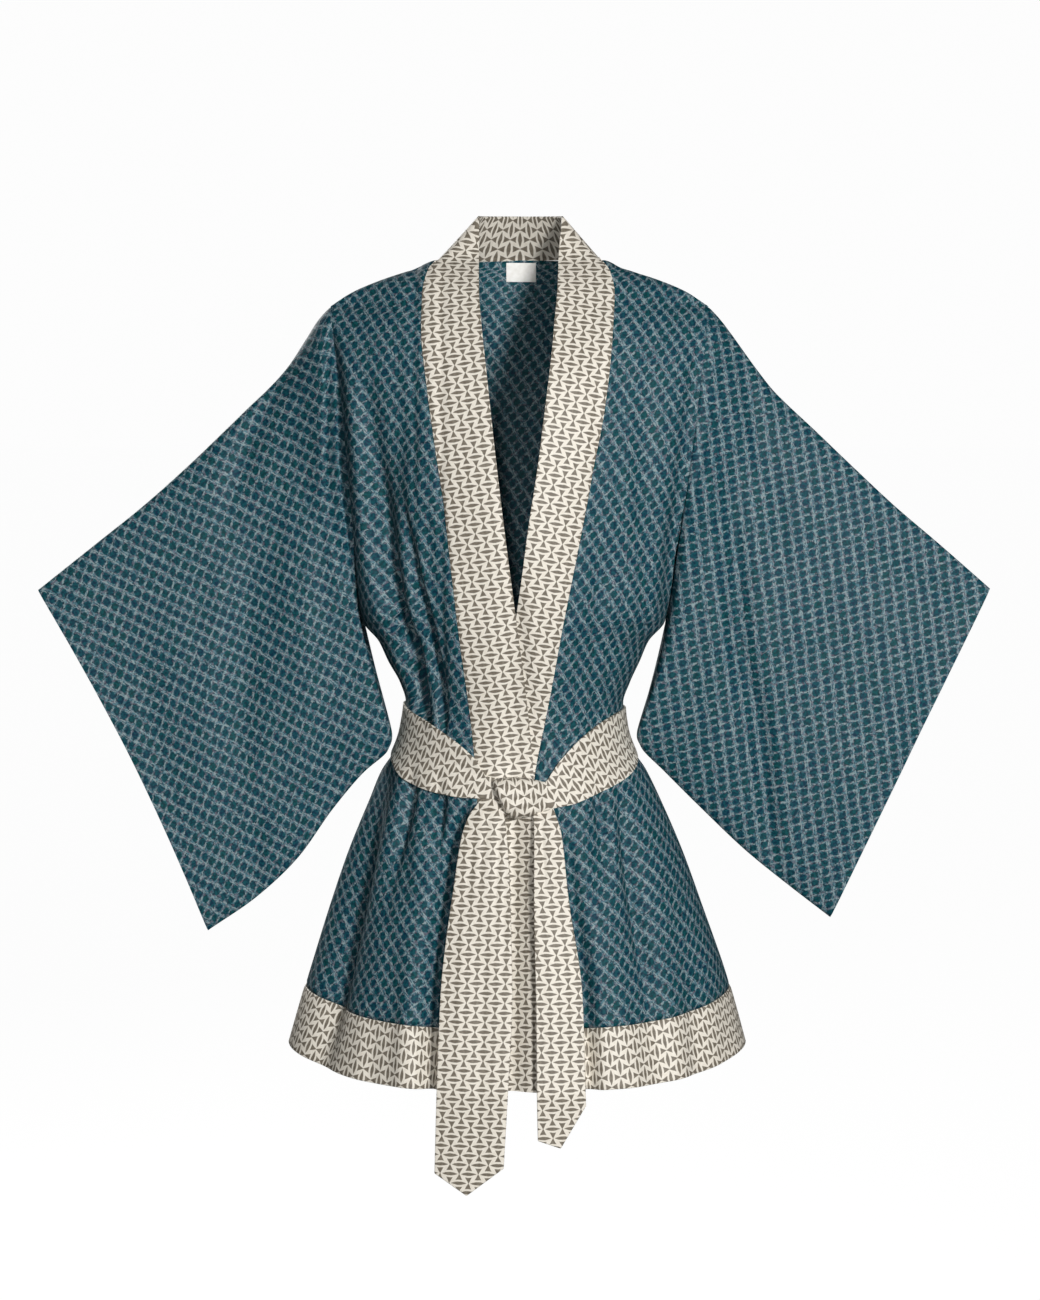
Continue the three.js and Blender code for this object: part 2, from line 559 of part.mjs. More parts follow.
// A station along the neckband runs from -1 at the middle of the back to 0 at the neck point,
// then down the front by rows.
const bandPoint = (side, station, share) => (station < 0
  ? napeBandPoint(side, (Math.PI / 2) * (1 + station), share)
  : frontBandPoint(side, station, share));

// The neckband's seam edge goes through the cloth in the same way as the panel it is sewn to.
function bandSeamPlace(side, station) {
  if (station < 0) {
    const sign = side === 'right' ? -1 : 1;
    const across = (NECK.half / SHOULDER_TIP.half) * Math.sin((Math.PI / 2) * (1 + station));
    return bodyPlace('back', sign * Math.asin(across), 0, 0, BAND_WALL);
  }
  const z = frontHeight(station);
  const x = bandEdges[side].seamX(z);
  const under = side === 'left' ? lapUnder(x, z) : 0;
  return bodyPlace('front', frontEdgeAngle(side, station), station, z, { ...BAND_WALL, under });
}

function neckband(side) {
  const stations = [...evenly(-1, 0, STEPS.nape / 2), ...PANEL_ROWS.slice(1), ...HEM_ROWS.slice(1)];
  const surface = (station, share) => bandPoint(side, station, share);
  return clothWall(gridOf(stations, evenly(0, 1, STEPS.band), (station, share) => {
    if (share === 0) return bandSeamPlace(side, station);
    const inside = new THREE.Vector3(0, 20, Math.min(-60, frontHeight(Math.max(station, 0)) - 60));
    const step = 0.004;
    const down = clamp(station, step - 1, 2 - step);
    const normal = outward(surface, down, clamp(share, step, 1 - step), step, step, inside);
    const point = surface(station, share).addScaledVector(normal, BAND_LIFT);
    return { point, through: normal.multiplyScalar(-BAND) };
  }));
}

// A sleeve's outer point: a share along it from armhole to cuff, and a share across from its top.
function sleeveSurface(side, face) {
  const rows = side === 'right' ? SLEEVE_RIGHT : SLEEVE_LEFT;
  const folds = side === 'right' ? SLEEVE_FOLDS_RIGHT : SLEEVE_FOLDS_LEFT;
  const numbered = rows.map((row, i) => ({ ...row, along: i / (rows.length - 1) }));
  const curves = tableCurves(numbered, 'along', Object.keys(rows[0]));
  const sign = side === 'right' ? -1 : 1;
  return (along, across) => {
    const top = new THREE.Vector2(curves.topX(along), curves.topZ(along));
    const bottom = new THREE.Vector2(curves.bottomX(along), curves.bottomZ(along));
    const line = bottom.clone().sub(top).normalize();
    const bow = 4 * across * (1 - across) * curves.bow(along);
    const place = top.lerp(bottom, across).add(new THREE.Vector2(line.y, -line.x).multiplyScalar(sign * bow));
    const oval = Math.sin(Math.PI * clamp(across, 0, 1)) ** mix(ARMHOLE.power, SLEEVE.cuffPower, along);
    const eased = Math.sin(Math.PI * clamp(across, 0, 1)) * smooth(along / SLEEVE.easing);
    const depth = curves[face](along) * oval - foldDepth(folds, place.x, place.y) * eased;
    const point = new THREE.Vector3(place.x, face === 'front' ? -depth : depth, place.y);
    const z = mix(SHOULDER_TIP.z, UNDERARM.z, across);
    const armhole = bodyForm(face, (sign * Math.PI) / 2, z);
    const sectionAtArmhole = new THREE.Vector3(mix(rows[0].topX, rows[0].bottomX, across), 0, z);
    const off = armhole.sub(sectionAtArmhole).setY(0);
    return point.addScaledVector(off, 1 - smooth(along / SLEEVE.easing));
  };
}

function sleevePiece(side, face) {
  const surface = sleeveSurface(side, face);
  const inwardY = face === 'front' ? CLOTH : -CLOTH;
  return clothWall(gridOf(evenly(0, 1, STEPS.sleeve), ARMHOLE_ROWS, (along, across) => {
    const point = surface(along, across);
    const middle = surface(along, 0.5).setY(0);
    const step = 0.01;
    const inRange = (share) => clamp(share, step, 1 - step);
    const normal = outward(surface, inRange(along), inRange(across), step, step, middle);
    const way = normal.multiplyScalar(-CLOTH);
    const onEdge = across === 0 || across === 1;
    if (onEdge) way.copy(middle.sub(point).normalize().multiplyScalar(CLOTH)).setY(0);
    if (along === 0 && across === 0) way.set(0, 0, -CLOTH);
    else if (along === 0 && !onEdge) way.set(0, inwardY, 0);
    return { point, through: way };
  }));
}

const beltFront = tableCurves(BELT_FRONT, 'angle', ['top', 'bottom']);

function beltWall(face, angles, edges) {
  return clothWall(gridOf(angles, evenly(0, 1, STEPS.beltWidth), (angle, share) => {
    const { top, bottom } = edges(angle);
    const z = mix(top, bottom, share);
    const turn = radians(angle);
    const point = onBody(face, turn, z, TOP_LIFT);
    const across = onBody(face, turn, z, TOP_LIFT - BAND).sub(point);
    if (Math.abs(angle) === 90) across.set(-Math.sign(angle) * BAND, 0, 0);
    return { point, through: across };
  }));
}

function beltSide(side) {
  const from = side === 'right' ? -90 : 90;
  const angles = evenly(from, BELT_MEETING, STEPS.beltSide);
  const edges = (angle) => ({ top: beltFront.top(angle), bottom: beltFront.bottom(angle) });
  return beltWall('front', angles, edges);
}

const beltBack = () => beltWall('back', evenly(-90, 90, STEPS.beltBack), (angle) => {
  const side = mix(beltFront.top(-90), beltFront.top(90), (angle + 90) / 180);
  const middle = Math.cos(radians(angle)) ** 2;
  return {
    top: mix(side, BELT_BACK.top - BELT_BACK.dip, middle),
    bottom: mix(beltFront.bottom(-90), BELT_BACK.bottom - BELT_BACK.dip, middle),
  };
});

// The knot: a rounded block that lies on the belt's two sides and narrows below.
function knot() {
  const geometry = new THREE.SphereGeometry(1, 20, 12);
  geometry.deleteAttribute('normal');
  geometry.deleteAttribute('uv');
  const squared = (value) => Math.sign(value) * Math.abs(value) ** KNOT.power;
  const corners = geometry.attributes.position;
  for (let i = 0; i < corners.count; i += 1) {
    const up = squared(corners.getY(i));
    const narrow = 1 - KNOT.taper * smooth(-up);
    const x = KNOT.x + KNOT.halfX * narrow * squared(corners.getX(i));
    const forward = Math.max(squared(-corners.getZ(i)), 0);
    const lift = TOP_LIFT + SEAM_GAP + KNOT.depth * forward;
    corners.setXYZ(i, ...acrossBody('front', x, KNOT.z + KNOT.halfZ * up, lift).toArray());
  }
  const welded = mergeVertices(geometry, 1e-3);
  return facingOut([...welded.attributes.position.array], [...welded.index.array]);
}

// A hanging end of the belt lies on the skirt, hangs straight down below it and ends in a point.
function tie({ edges, end }) {
  const left = through(edges, 'z', 'leftX');
  const right = through(edges, 'z', 'rightX');
  const tip = end[1].across;
  const endAt = (across) => (across < tip
    ? mix(end[0].z, end[1].z, across / tip)
    : mix(end[1].z, end[2].z, (across - tip) / (1 - tip)));
  const columns = [0, tip / 2, tip, (1 + tip) / 2, 1];
  const rows = [...evenly(0, 1, STEPS.tieUpper), ...evenly(1, 2, STEPS.tieLower).slice(1)];
  return clothWall(gridOf(rows, columns, (down, across) => {
    const z = down < 1
      ? mix(edges[0].z, HEM.frontZ, down)
      : mix(HEM.frontZ, endAt(across), down - 1);
    const x = mix(left(z), right(z), across);
    const resting = Math.max(z, HEM.frontZ);
    const point = acrossBody('front', x, resting, TOP_LIFT);
    const way = acrossBody('front', x, resting, TOP_LIFT - BAND).sub(point);
    point.setX(x).setZ(z);
    return { point, through: way };
  }));
}

// The blank label lies against the inside of the back.
function label() {
  const lift = -CLOTH - LAYER_GAP;
  const xs = evenly(LABEL.x - LABEL.width / 2, LABEL.x + LABEL.width / 2, 4);
  const zs = evenly(LABEL.topZ, LABEL.topZ - LABEL.height, 3);
  return clothWall(gridOf(zs, xs, (z, x) => {
    const point = acrossBody('back', x, z, lift);
    return { point, through: acrossBody('back', x, z, lift - LABEL.thickness).sub(point) };
  }));
}

const robe = new THREE.Group();
robe.add(
  clothMesh('back', backPiece(PANEL_ROWS, PANEL_WALL), TEAL),
  clothMesh('hem_band_back', backPiece(HEM_ROWS, HEM_WALL), PALE),
);
for (const side of ['right', 'left']) {
  robe.add(
    clothMesh(`front_${side}`, frontPiece(side, PANEL_ROWS, PANEL_WALL), TEAL),
    clothMesh(`sleeve_${side}_front`, sleevePiece(side, 'front'), TEAL),
    clothMesh(`sleeve_${side}_back`, sleevePiece(side, 'back'), TEAL),
    clothMesh(`hem_band_front_${side}`, frontPiece(side, HEM_ROWS, HEM_WALL), PALE),
    clothMesh(`neckband_${side}`, neckband(side), PALE),
    clothMesh(`belt_${side}`, beltSide(side), PALE),
  );
}
robe.add(
  clothMesh('belt_back', beltBack(), PALE),
  clothMesh('belt_knot', knot(), PALE),
  clothMesh('tie_long', tie(TIE_LONG), PALE),
  clothMesh('tie_short', tie(TIE_SHORT), PALE),
  clothMesh('label', label(), WHITE),
);

export default robe;
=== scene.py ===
import math
from functools import partial

import bmesh
import bpy
import numpy as np
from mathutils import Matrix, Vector


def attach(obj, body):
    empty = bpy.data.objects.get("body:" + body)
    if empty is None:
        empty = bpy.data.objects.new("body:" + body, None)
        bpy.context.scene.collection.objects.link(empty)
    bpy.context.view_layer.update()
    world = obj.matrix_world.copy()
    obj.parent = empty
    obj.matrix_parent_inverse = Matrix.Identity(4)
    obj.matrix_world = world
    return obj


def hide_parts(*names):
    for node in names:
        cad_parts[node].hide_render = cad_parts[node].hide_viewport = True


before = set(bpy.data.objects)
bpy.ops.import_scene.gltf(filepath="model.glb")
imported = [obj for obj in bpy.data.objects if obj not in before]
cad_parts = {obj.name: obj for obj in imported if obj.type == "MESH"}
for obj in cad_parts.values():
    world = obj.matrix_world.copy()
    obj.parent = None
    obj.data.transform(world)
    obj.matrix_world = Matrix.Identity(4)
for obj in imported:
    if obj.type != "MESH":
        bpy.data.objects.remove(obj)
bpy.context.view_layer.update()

# A belted kimono robe of two printed satins, filled out as it is worn with nobody inside it.
# Lengths are millimetres until a mesh is made: +Z up, -Y to the front, +X to the wearer's left.
METRES = 0.001
SIDES = {"right": -1, "left": 1}
QUARTER = math.pi / 2

# Cloth: one layer of print cloth, a band folded double, and the gap between layers.
CLOTH = 1.2
BAND = 2.4
LAYER_GAP = 0.8
BAND_LIFT = 1.0
HEM_LIFT = 0.6
TOP_LIFT = BAND_LIFT + LAYER_GAP + BAND

# The general figure that the robe hangs on.
NECK_HALF, NAPE = 79, 72
TIP_HALF, TIP_Z = 186, -45
UNDERARM_Z = -358
HEM_SIDE, HEM_FRONT, HEM_CURVE = -785, -804, 4
HEM_SEAM = 0.866
ROUND_SHOULDER, ROUND_NECK, ROUND_FROM, ROUND_TO = 70, 130, 130, 50
ARMHOLE_DEPTH = {"front": 54, "back": 60}
ARMHOLE_POWER, SIDE_CLOSING = 0.6, 110

BODY = [
    "z half centre front back",
    (60, 186, 5, 70, 78), (-45, 186, 5, 80, 84), (-120, 178, 4.5, 97, 94), (-200, 169, 3, 110, 98),
    (-280, 160, 1, 113, 96), (-358, 151, -0.5, 107, 89), (-378, 135, -0.8, 104, 87),
    (-398, 126, -0.5, 101, 85), (-420, 115, 0.5, 97, 82), (-440, 109, 0, 94, 80), (-465, 112, -0.5, 92, 79),
    (-489, 120, -0.5, 92, 81), (-509, 133, -0.5, 95, 85), (-540, 147, 0.5, 101, 93),
    (-590, 168, 1, 111, 104), (-641, 186, 1.5, 121, 115), (-723, 213, 3, 137, 131),
    (-804, 236, 2.5, 152, 146),
]
SHOULDER_LINE = [
    "out z",
    (0, 0), (79, 0), (107, -10), (138, -20), (164, -30), (180, -40), (186, -45), (240, -95),
]
BAND_EDGES = {
    "right": [
        "seam_z seam_x fold_x fold_z",
        (0, -74, -35, 42), (-9, -84, -35, 4), (-35, -90, -34.5, -30), (-66, -90.5, -32, -62),
        (-120, -85, -26.5, -112), (-185, -76, -19.5, -176), (-263, -65.5, -10.5, -254),
        (-358, -54.5, 2, -350), (-481, -39.4, 16.5, -474), (-560, -35, 21.5, -558), (-804, -35, 22.5, -804),
    ],
    "left": [
        "seam_z seam_x fold_x fold_z",
        (0, 84, 47, 42), (-11, 93, 43.5, 4), (-32, 98, 42, -28), (-58, 96.6, 39.5, -54),
        (-98, 93.3, 36, -91), (-152, 86.3, 29.5, -144), (-207, 75.8, 22.5, -199), (-262, 65.3, 14, -255),
        (-358, 46.5, 1, -352), (-420, 35.5, -13, -414), (-509, 19.2, -33, -503), (-560, 14, -42, -558),
        (-804, 5, -52, -804),
    ],
}
NECK_FOLD = [
    "seam_z y on_chest",
    (0, 8, 0), (-10, -15, 0.2), (-34, -46, 0.8), (-62, -70, 1), (-900, -90, 1),
]
NAPE_FOLD = {"x": 6, "half": 41, "y": 8, "back": 28, "z": 42.5}
LAP = {"depth": 3.6, "ease": 16, "from_z": -290, "full_z": -345}

# Folds, from one place to another: x0, z0, x1, z1, width and depth. A negative depth is a ridge.
FOLD_FADE = 0.8
# The deep folds fade towards the side seams. On the sleeves they have a limit, a share of the
# sleeve's depth, and are shallower behind.
SIDE_FADE, DEEP_BEHIND, DEEP_LIMIT = 2.2, 0.6, 0.6
WAVE_SEEDS = {"front": 1.0, "back": 2.3, "sleeve_front": 4.0, "sleeve_back": 5.1}
LARGE_FOLDS = {
    "front": [
        (-140, -110, -124, -345, 13, 12), (-122, -290, -84, -450, 10, 10), (-88, -235, -69, -450, 9, 6),
        (-104, -160, -102, -420, 12, -6), (128, -110, 126, -300, 13, 6), (90, -270, 76, -445, 11, 6),
        (-98, -500, -116, -640, 9, 6), (-72, -510, -76, -610, 8, 6), (-142, -530, -186, -880, 24, 12),
        (-120, -640, -136, -930, 18, 6), (80, -515, 86, -640, 9, 5), (106, -525, 144, -900, 15, 9),
        (160, -590, 206, -930, 18, 8),
    ],
    "back": [
        (-122, -110, -90, -440, 15, 10), (124, -120, 90, -440, 14, 9), (-54, -220, -44, -440, 12, 6),
        (42, -200, 42, -440, 12, 6), (-96, -495, -158, -930, 20, 12), (-30, -500, -54, -930, 18, 10),
        (36, -500, 60, -930, 18, 10), (100, -495, 164, -930, 20, 12),
    ],
}
# The fine creases between them: uneven in length, depth and spacing.
FINE_FOLDS = {
    "front": [
        (-112, -60, -118, -240, 9, 2.4), (-146, -190, -136, -330, 6, 3.2), (-96, -360, -80, -470, 4, 3),
        (-104, -130, -108, -250, 12, 4), (70, -330, 60, -440, 6, 2.4), (104, -340, 88, -445, 6, 3.2),
        (140, -230, 118, -400, 8, 3.4), (112, -150, 108, -300, 10, -2), (60, -505, 62, -575, 5, 2.6),
        (122, -540, 150, -700, 8, 2.6), (-86, -505, -92, -600, 5, 3.4), (-118, -520, -140, -650, 6, 4),
        (-100, -620, -112, -800, 10, -2.4), (-172, -600, -206, -840, 9, 3),
        # Flutes in the hem.
        (-196, -640, -222, -960, 11, 5), (-140, -700, -152, -960, 10, 5), (-108, -690, -116, -960, 10, -3.4),
        (92, -690, 100, -960, 10, 3), (118, -720, 128, -960, 9, -3), (148, -680, 158, -960, 8, 3.2),
        (176, -660, 192, -960, 9, 4.4), (206, -660, 226, -960, 10, 5),
    ],
    "back": [
        (-90, -60, -96, -260, 10, 3), (96, -70, 92, -250, 9, 2.8), (-20, -240, -16, -430, 8, 3),
        (14, -260, 12, -440, 7, 2.6), (-76, -320, -66, -450, 6, 3.4), (70, -330, 62, -450, 6, 3.2),
        (-60, -500, -76, -640, 6, 3.4), (6, -500, 4, -660, 7, 3.2), (70, -505, 84, -650, 6, 3.3),
        (-120, -520, -150, -690, 8, 3.2), (128, -520, 160, -700, 8, 3), (-196, -660, -216, -960, 11, 5),
        (-110, -700, -122, -960, 10, -3.6), (-88, -720, -96, -960, 9, 4), (4, -680, 6, -960, 11, 4.4),
        (92, -700, 102, -960, 10, 3.8), (186, -660, 208, -960, 10, 5),
    ],
}
# The deep folds, each by its course down the cloth.
COURSE = "z x width depth"
DEEP_FOLDS = {
    "front": [
        # From the right armhole down to the belt.
        [(-100, -148, 9, 0), (-164, -145, 10, 8), (-250, -138, 11.5, 20), (-328, -125, 8.5, 27),
         (-377, -111, 7.5, 28), (-412, -102, 6.5, 23), (-445, -93, 5.5, 14), (-470, -86, 5, 0)],
        [(-225, -112, 6, 0), (-290, -102, 6, 12), (-345, -91, 6, 20), (-395, -82, 5.5, 21),
         (-430, -75, 5, 15), (-465, -70, 4, 0)],
        [(-335, -124, 5, 0), (-378, -113, 5, 8), (-410, -105, 4.5, 9), (-440, -100, 4, 5),
         (-462, -98, 4, 0)],
        [(-130, -114, 16, 0), (-200, -118, 17, 7), (-300, -108, 14, 6), (-380, -92, 12, 3),
         (-430, -84, 10, 0)],
        # Under the belt on the right.
        [(-490, -124, 10, 0), (-525, -140, 12, 14), (-575, -158, 15, 26), (-650, -178, 17, 32),
         (-720, -190, 17, 24), (-800, -199, 17, 10), (-860, -206, 16, 5)],
        [(-494, -98, 4, 2), (-515, -103, 5.5, 13), (-550, -112, 6, 13), (-600, -122, 7, 6),
         (-660, -130, 8, 0)],
        [(-498, -71, 4, 2), (-518, -73, 5, 12), (-548, -77, 5.5, 10), (-600, -82, 6, 0)],
        # Under the belt on the left.
        [(-500, 80, 5, 1), (-525, 84, 5.5, 8), (-560, 89, 6, 7), (-620, 93, 6, 0)],
        [(-515, 104, 7, 1), (-555, 111, 7, 8), (-612, 119, 8, 10), (-672, 129, 8, 10), (-740, 140, 9, 6),
         (-860, 150, 9, 3)],
        # Beside the hanging ends and between them.
        [(-522, -44, 6, 0), (-556, -58, 8, 16), (-600, -66, 9, 22), (-711, -80, 9.5, 23), (-800, -84, 9, 17),
         (-880, -87, 9, 13)],
        [(-528, 44, 6, 0), (-556, 51, 6, 6), (-618, 58, 7, 11), (-711, 71, 8, 19), (-760, 74, 8, 20),
         (-880, 78, 8, 15)],
        [(-512, 0, 12, 3), (-532, -1, 15, 10), (-556, -2, 17, 15), (-700, -3, 18, 17), (-880, -7, 19, 16)],
    ],
    "back": [
        [(-120, -136, 9, 0), (-220, -122, 8, 6), (-320, -104, 7, 9), (-410, -88, 6, 8), (-460, -80, 6, 0)],
        [(-130, 138, 9, 0), (-230, 122, 8, 7), (-330, 102, 7, 10), (-405, 86, 6, 7), (-460, 78, 6, 0)],
        [(-300, -40, 6, 0), (-370, -36, 6, 6), (-430, -33, 5, 6), (-465, -32, 5, 0)],
        [(-490, -84, 6, 0), (-530, -94, 7, 7), (-620, -112, 9, 9), (-720, -126, 10, 6), (-880, -140, 11, 4)],
        [(-490, 38, 6, 0), (-540, 42, 7, 6), (-640, 48, 9, 8), (-760, 54, 10, 5), (-880, 58, 11, 4)],
        [(-490, 112, 6, 0), (-540, 122, 7, 8), (-640, 142, 9, 8), (-760, 158, 10, 5), (-880, 168, 11, 4)],
    ],
}
# The cloth sinks in along the armhole seams: depth and width by height, and how far out of the
# seam it is deepest. The limit is a share of the armhole's depth, behind it is shallower, and along
# the sleeve it fades.
GROOVE_LIMIT, GROOVE_BEHIND, GROOVE_START, GROOVE_FADE = 0.8, 0.4, 1.25, 3
ARMHOLE_GROOVE = {
    "right": [
        "z out width depth",
        (-62, 1, 5, 0), (-93, 1, 6, 13), (-178, 6, 9.5, 34), (-270, 11, 12, 40), (-330, 15, 14, 36),
        (-366, 6, 10, 0),
    ],
    "left": [
        "z out width depth",
        (-62, -8, 8, 0), (-120, -8, 8, 6), (-200, -7, 8, 9), (-290, -6, 8, 12), (-335, -4, 7, 10),
        (-366, 0, 7, 0),
    ],
}

SLEEVES = {
    "right": [
        "top_x top_z bottom_x bottom_z front back bow",
        (-181, -45, -151.5, -358, 54, 60, 0), (-194, -59, -150, -380, 55, 58, 0),
        (-207, -79, -143, -405, 52, 52, 0), (-225, -106, -132, -438, 44, 44, 1),
        (-245, -128, -122.5, -474, 37, 38, 3), (-261, -143, -127, -489, 34, 35, 4),
        (-288, -169, -152, -512, 30, 31, 6), (-326, -205, -183, -549, 26, 27, 8),
        (-369, -243, -218, -598, 22, 24, 9), (-418, -282, -260, -638, 19, 21, 10),
        (-475.5, -327.5, -309, -672, 17, 18, 10),
    ],
    "left": [
        "top_x top_z bottom_x bottom_z front back bow",
        (191, -45, 150.5, -358, 54, 60, 0), (204, -59, 149, -380, 53, 57, 0),
        (217, -76, 142, -405, 49, 51, 0), (238, -105, 132, -440, 42, 44, 0),
        (257, -129, 122.5, -473, 36, 38, 0), (270, -142, 127, -486, 33, 35, 0),
        (297, -167, 152, -512, 30, 31, 0), (336, -204, 190, -550, 26, 27, 1),
        (378, -243, 233, -591, 22, 24, 2), (424, -282, 276, -626, 19, 21, 2),
        (474.5, -326, 318, -658.5, 17, 18, 2),
    ],
}
CUFF_POWER, SLEEVE_EASING = 0.42, 0.25
SLEEVE_FOLDS = {
    "right": [
        (-248, -145, -290, -660, 20, 10), (-196, -230, -214, -560, 20, -6), (-350, -300, -268, -620, 30, -5),
        (-228, -150, -246, -420, 9, 2.6), (-300, -220, -330, -520, 14, 2.2),
        (-180, -180, -196, -400, 10, 2.6), (-390, -320, -330, -600, 12, 2), (-420, -330, -372, -560, 9, 1.6),
    ],
    "left": [
        (194, -270, 198, -540, 20, -5), (410, -310, 322, -610, 28, -5), (240, -120, 262, -380, 10, 2.4),
        (300, -230, 330, -500, 15, 2.4), (350, -260, 352, -560, 12, 1.8), (176, -180, 186, -400, 10, 2.4),
        (430, -320, 390, -560, 9, 1.6),
    ],
}
DEEP_SLEEVE_FOLDS = {
    "right": [
        [(-72, -206, 8, 0), (-105, -226, 11, 10), (-145, -248, 14, 16), (-190, -268, 15, 14),
         (-250, -282, 15, 6), (-310, -290, 14, 0)],
        [(-470, -172, 10, 0), (-505, -180, 10, 9), (-540, -192, 10, 10), (-590, -214, 10, 0)],
        [(-540, -250, 10, 0), (-590, -260, 10, 11), (-625, -263, 9, 12), (-660, -268, 9, 6)],
    ],
    "left": [
        [(-180, 214, 14, 0), (-260, 217, 11, 6), (-372, 223, 11, 9), (-470, 245, 10, 11),
         (-560, 253, 10, 14), (-640, 266, 9, 8)],
        [(-80, 220, 8, 0), (-110, 228, 9, 8), (-157, 237, 9, 8), (-215, 246, 9, 0)],
        [(-160, 251, 8, 0), (-200, 257, 8, 5), (-255, 264, 8, 5), (-330, 270, 9, 0)],
        [(-270, 352, 9, 0), (-300, 388, 10, 5), (-330, 428, 10, 6), (-352, 462, 10, 0)],
    ],
}

# The belt's edges: heights by the angle round the waist, -90 at the right side, 0 at the front.
BELT_FRONT = [
    "angle top bottom",
    (-90, -440, -490), (-70, -445, -500), (-50, -453, -513), (-32, -467, -521), (-19, -484, -524),
    (-11, -503, -524), (12, -507, -535), (22, -487, -531), (38, -464, -520), (55, -451, -510),
    (72, -446, -500), (90, -445, -490),
]
BELT_LIFT = BAND + 0.2
BELT_BACK = {"top": -440, "bottom": -494}
BELT_MEETING = 1
# The left side of the belt goes on over the knot and tucks in behind it. Stations run from its
# side seam to the tuck, and forward is how far it bulges out over the knot.
WRAPPED_BELT = [
    "station angle top bottom forward",
    (0, 90, -445, -490, 0), (18, 72, -446, -500, 0), (35, 55, -451, -510, 0), (52, 38, -464, -520, 0),
    (68, 22, -487, -531, 0.4), (74, 16.5, -500, -533, 1), (78, 12.8, -508, -535, 2.5),
    (82, 9.4, -506, -538, 6.5), (87, 5.2, -504, -541, 11), (92, 0.4, -503, -543, 14),
    (97, -4.2, -503.5, -542, 15.5), (100, -6.8, -504.5, -540, 15), (102, -8.3, -505.5, -538, 12),
    (104, -9, -507, -536, 7), (106, -8.6, -509, -534, 2),
]
TUCK_SLANT, TUCK_FROM, TUCK_OVER = 5.0, 90, 14
BELT_CREASES = [
    (-24, -508, -78, -484, 3.2, 1.3), (-28, -516, -70, -503, 2.6, 0.9), (-22, -500, -60, -470, 3, -0.8),
    (36, -520, 84, -496, 3, 1.2), (40, -512, 78, -482, 2.6, 0.9), (34, -528, 70, -515, 2.4, 0.8),
    (-17, -536, 30, -513, 2.8, 2.2), (-15, -528, 22, -507, 2.4, 1.4), (-10, -541, 34, -525, 2.6, 1.8),
    (-17, -540, -4, -506, 2.2, 1.2),
]

TIES = {
    "long": {
        "edges": [
            "z left_x right_x",
            (-518, -30, -10), (-528, -36, -9), (-540, -45, -9), (-561, -52, -7), (-598, -58, -5),
            (-711, -72, -2), (-800, -75.5, -6), (-905, -78.5, -12),
        ],
        "end": [(0, -884), (0.48, -905), (1, -877)],
        "clear": 3,
        "creases": [
            (-14, -530, -20, -660, 2.6, 2), (-24, -528, -34, -610, 3, 1.6), (-36, -545, -50, -640, 3.4, 1.2),
            (-8, -560, -12, -700, 3, 1.4), (-46, -600, -58, -800, 6, -1), (-28, -620, -36, -900, 7, 1),
        ],
    },
    "short": {
        "edges": [
            "z left_x right_x",
            (-526, 14, 36), (-537, 18, 40), (-556, 19, 46), (-618, 19, 53), (-711, 21, 66.3),
            (-809, 22, 69.5), (-857, 23, 71),
        ],
        "end": [(0, -849), (0.46, -857), (1, -815.6)],
        "clear": 6.5,
        "creases": [
            (26, -532, 30, -620, 2.6, 1.6), (36, -536, 46, -630, 3, 1.4), (32, -600, 40, -820, 6, -1),
            (54, -640, 60, -850, 5, 0.9),
        ],
    },
}
LABEL = {"x": 6.8, "width": 31, "top": -2.5, "height": 19, "thickness": 0.8}


# ---- Sizes and curves

def clamp(value, low, high):
    return np.minimum(high, np.maximum(low, value))


def mix(first, second, share):
    return first + (second - first) * share


def smooth(share):
    s = clamp(share, 0, 1)
    return s * s * (3 - 2 * s)


def places(x, y, z):
    return np.stack(np.broadcast_arrays(x, y, z), axis=-1).astype(float)


def curve(table, at, column):
    """A smooth curve through one column of a table, which doesn't overshoot between its rows."""
    names = table[0].split()
    rows = sorted(table[1:], key=lambda row: row[names.index(at)])
    xs = np.array([row[names.index(at)] for row in rows], float)
    ys = np.array([row[names.index(column)] for row in rows], float)
    steps = np.diff(ys) / np.diff(xs)
    before, after = np.append(steps[0], steps), np.append(steps, steps[-1])
    rising = before * after > 0
    slopes = np.where(rising, 2 * before * after / np.where(rising, before + after, 1), 0)

    def height(x):
        inside = clamp(x, xs[0], xs[-1])
        i = np.clip(np.searchsorted(xs, inside) - 1, 0, len(xs) - 2)
        width = xs[i + 1] - xs[i]
        s = (inside - xs[i]) / width
        keep = 2 * s**3 - 3 * s**2 + 1
        ends = keep * ys[i] + (1 - keep) * ys[i + 1]
        return ends + width * ((s**3 - 2 * s**2 + s) * slopes[i] + (s**3 - s**2) * slopes[i + 1])

    return height


def curves(table, at):
    return {name: curve(table, at, name) for name in table[0].split() if name != at}


def courses(table):
    return {key: [curves([COURSE, *fold], "z") for fold in folds] for key, folds in table.items()}


def evenly(start, end, steps):
    return np.linspace(start, end, steps + 1)


def closer_at_ends(steps):
    return (1 - np.cos(evenly(0, math.pi, steps))) / 2


def joined(first, *others):
    """Runs of numbers end to end, each of which starts where the last one stops."""
    return np.concatenate([first, *[run[1:] for run in others]])


def crossed(rows, columns):
    return np.meshgrid(rows, columns, indexing="ij")


def bell(share):
    return np.exp(-share * share)


def unit(arrows):
    return arrows / np.maximum(np.linalg.norm(arrows, axis=-1, keepdims=True), 1e-9)


def lengths_along(grid, axis=1):
    """How far each place lies along its row, or its column, from the first place there."""
    steps = np.linalg.norm(np.diff(grid, axis=axis), axis=-1)
    return np.insert(np.cumsum(steps, axis=axis), 0, 0, axis=axis)


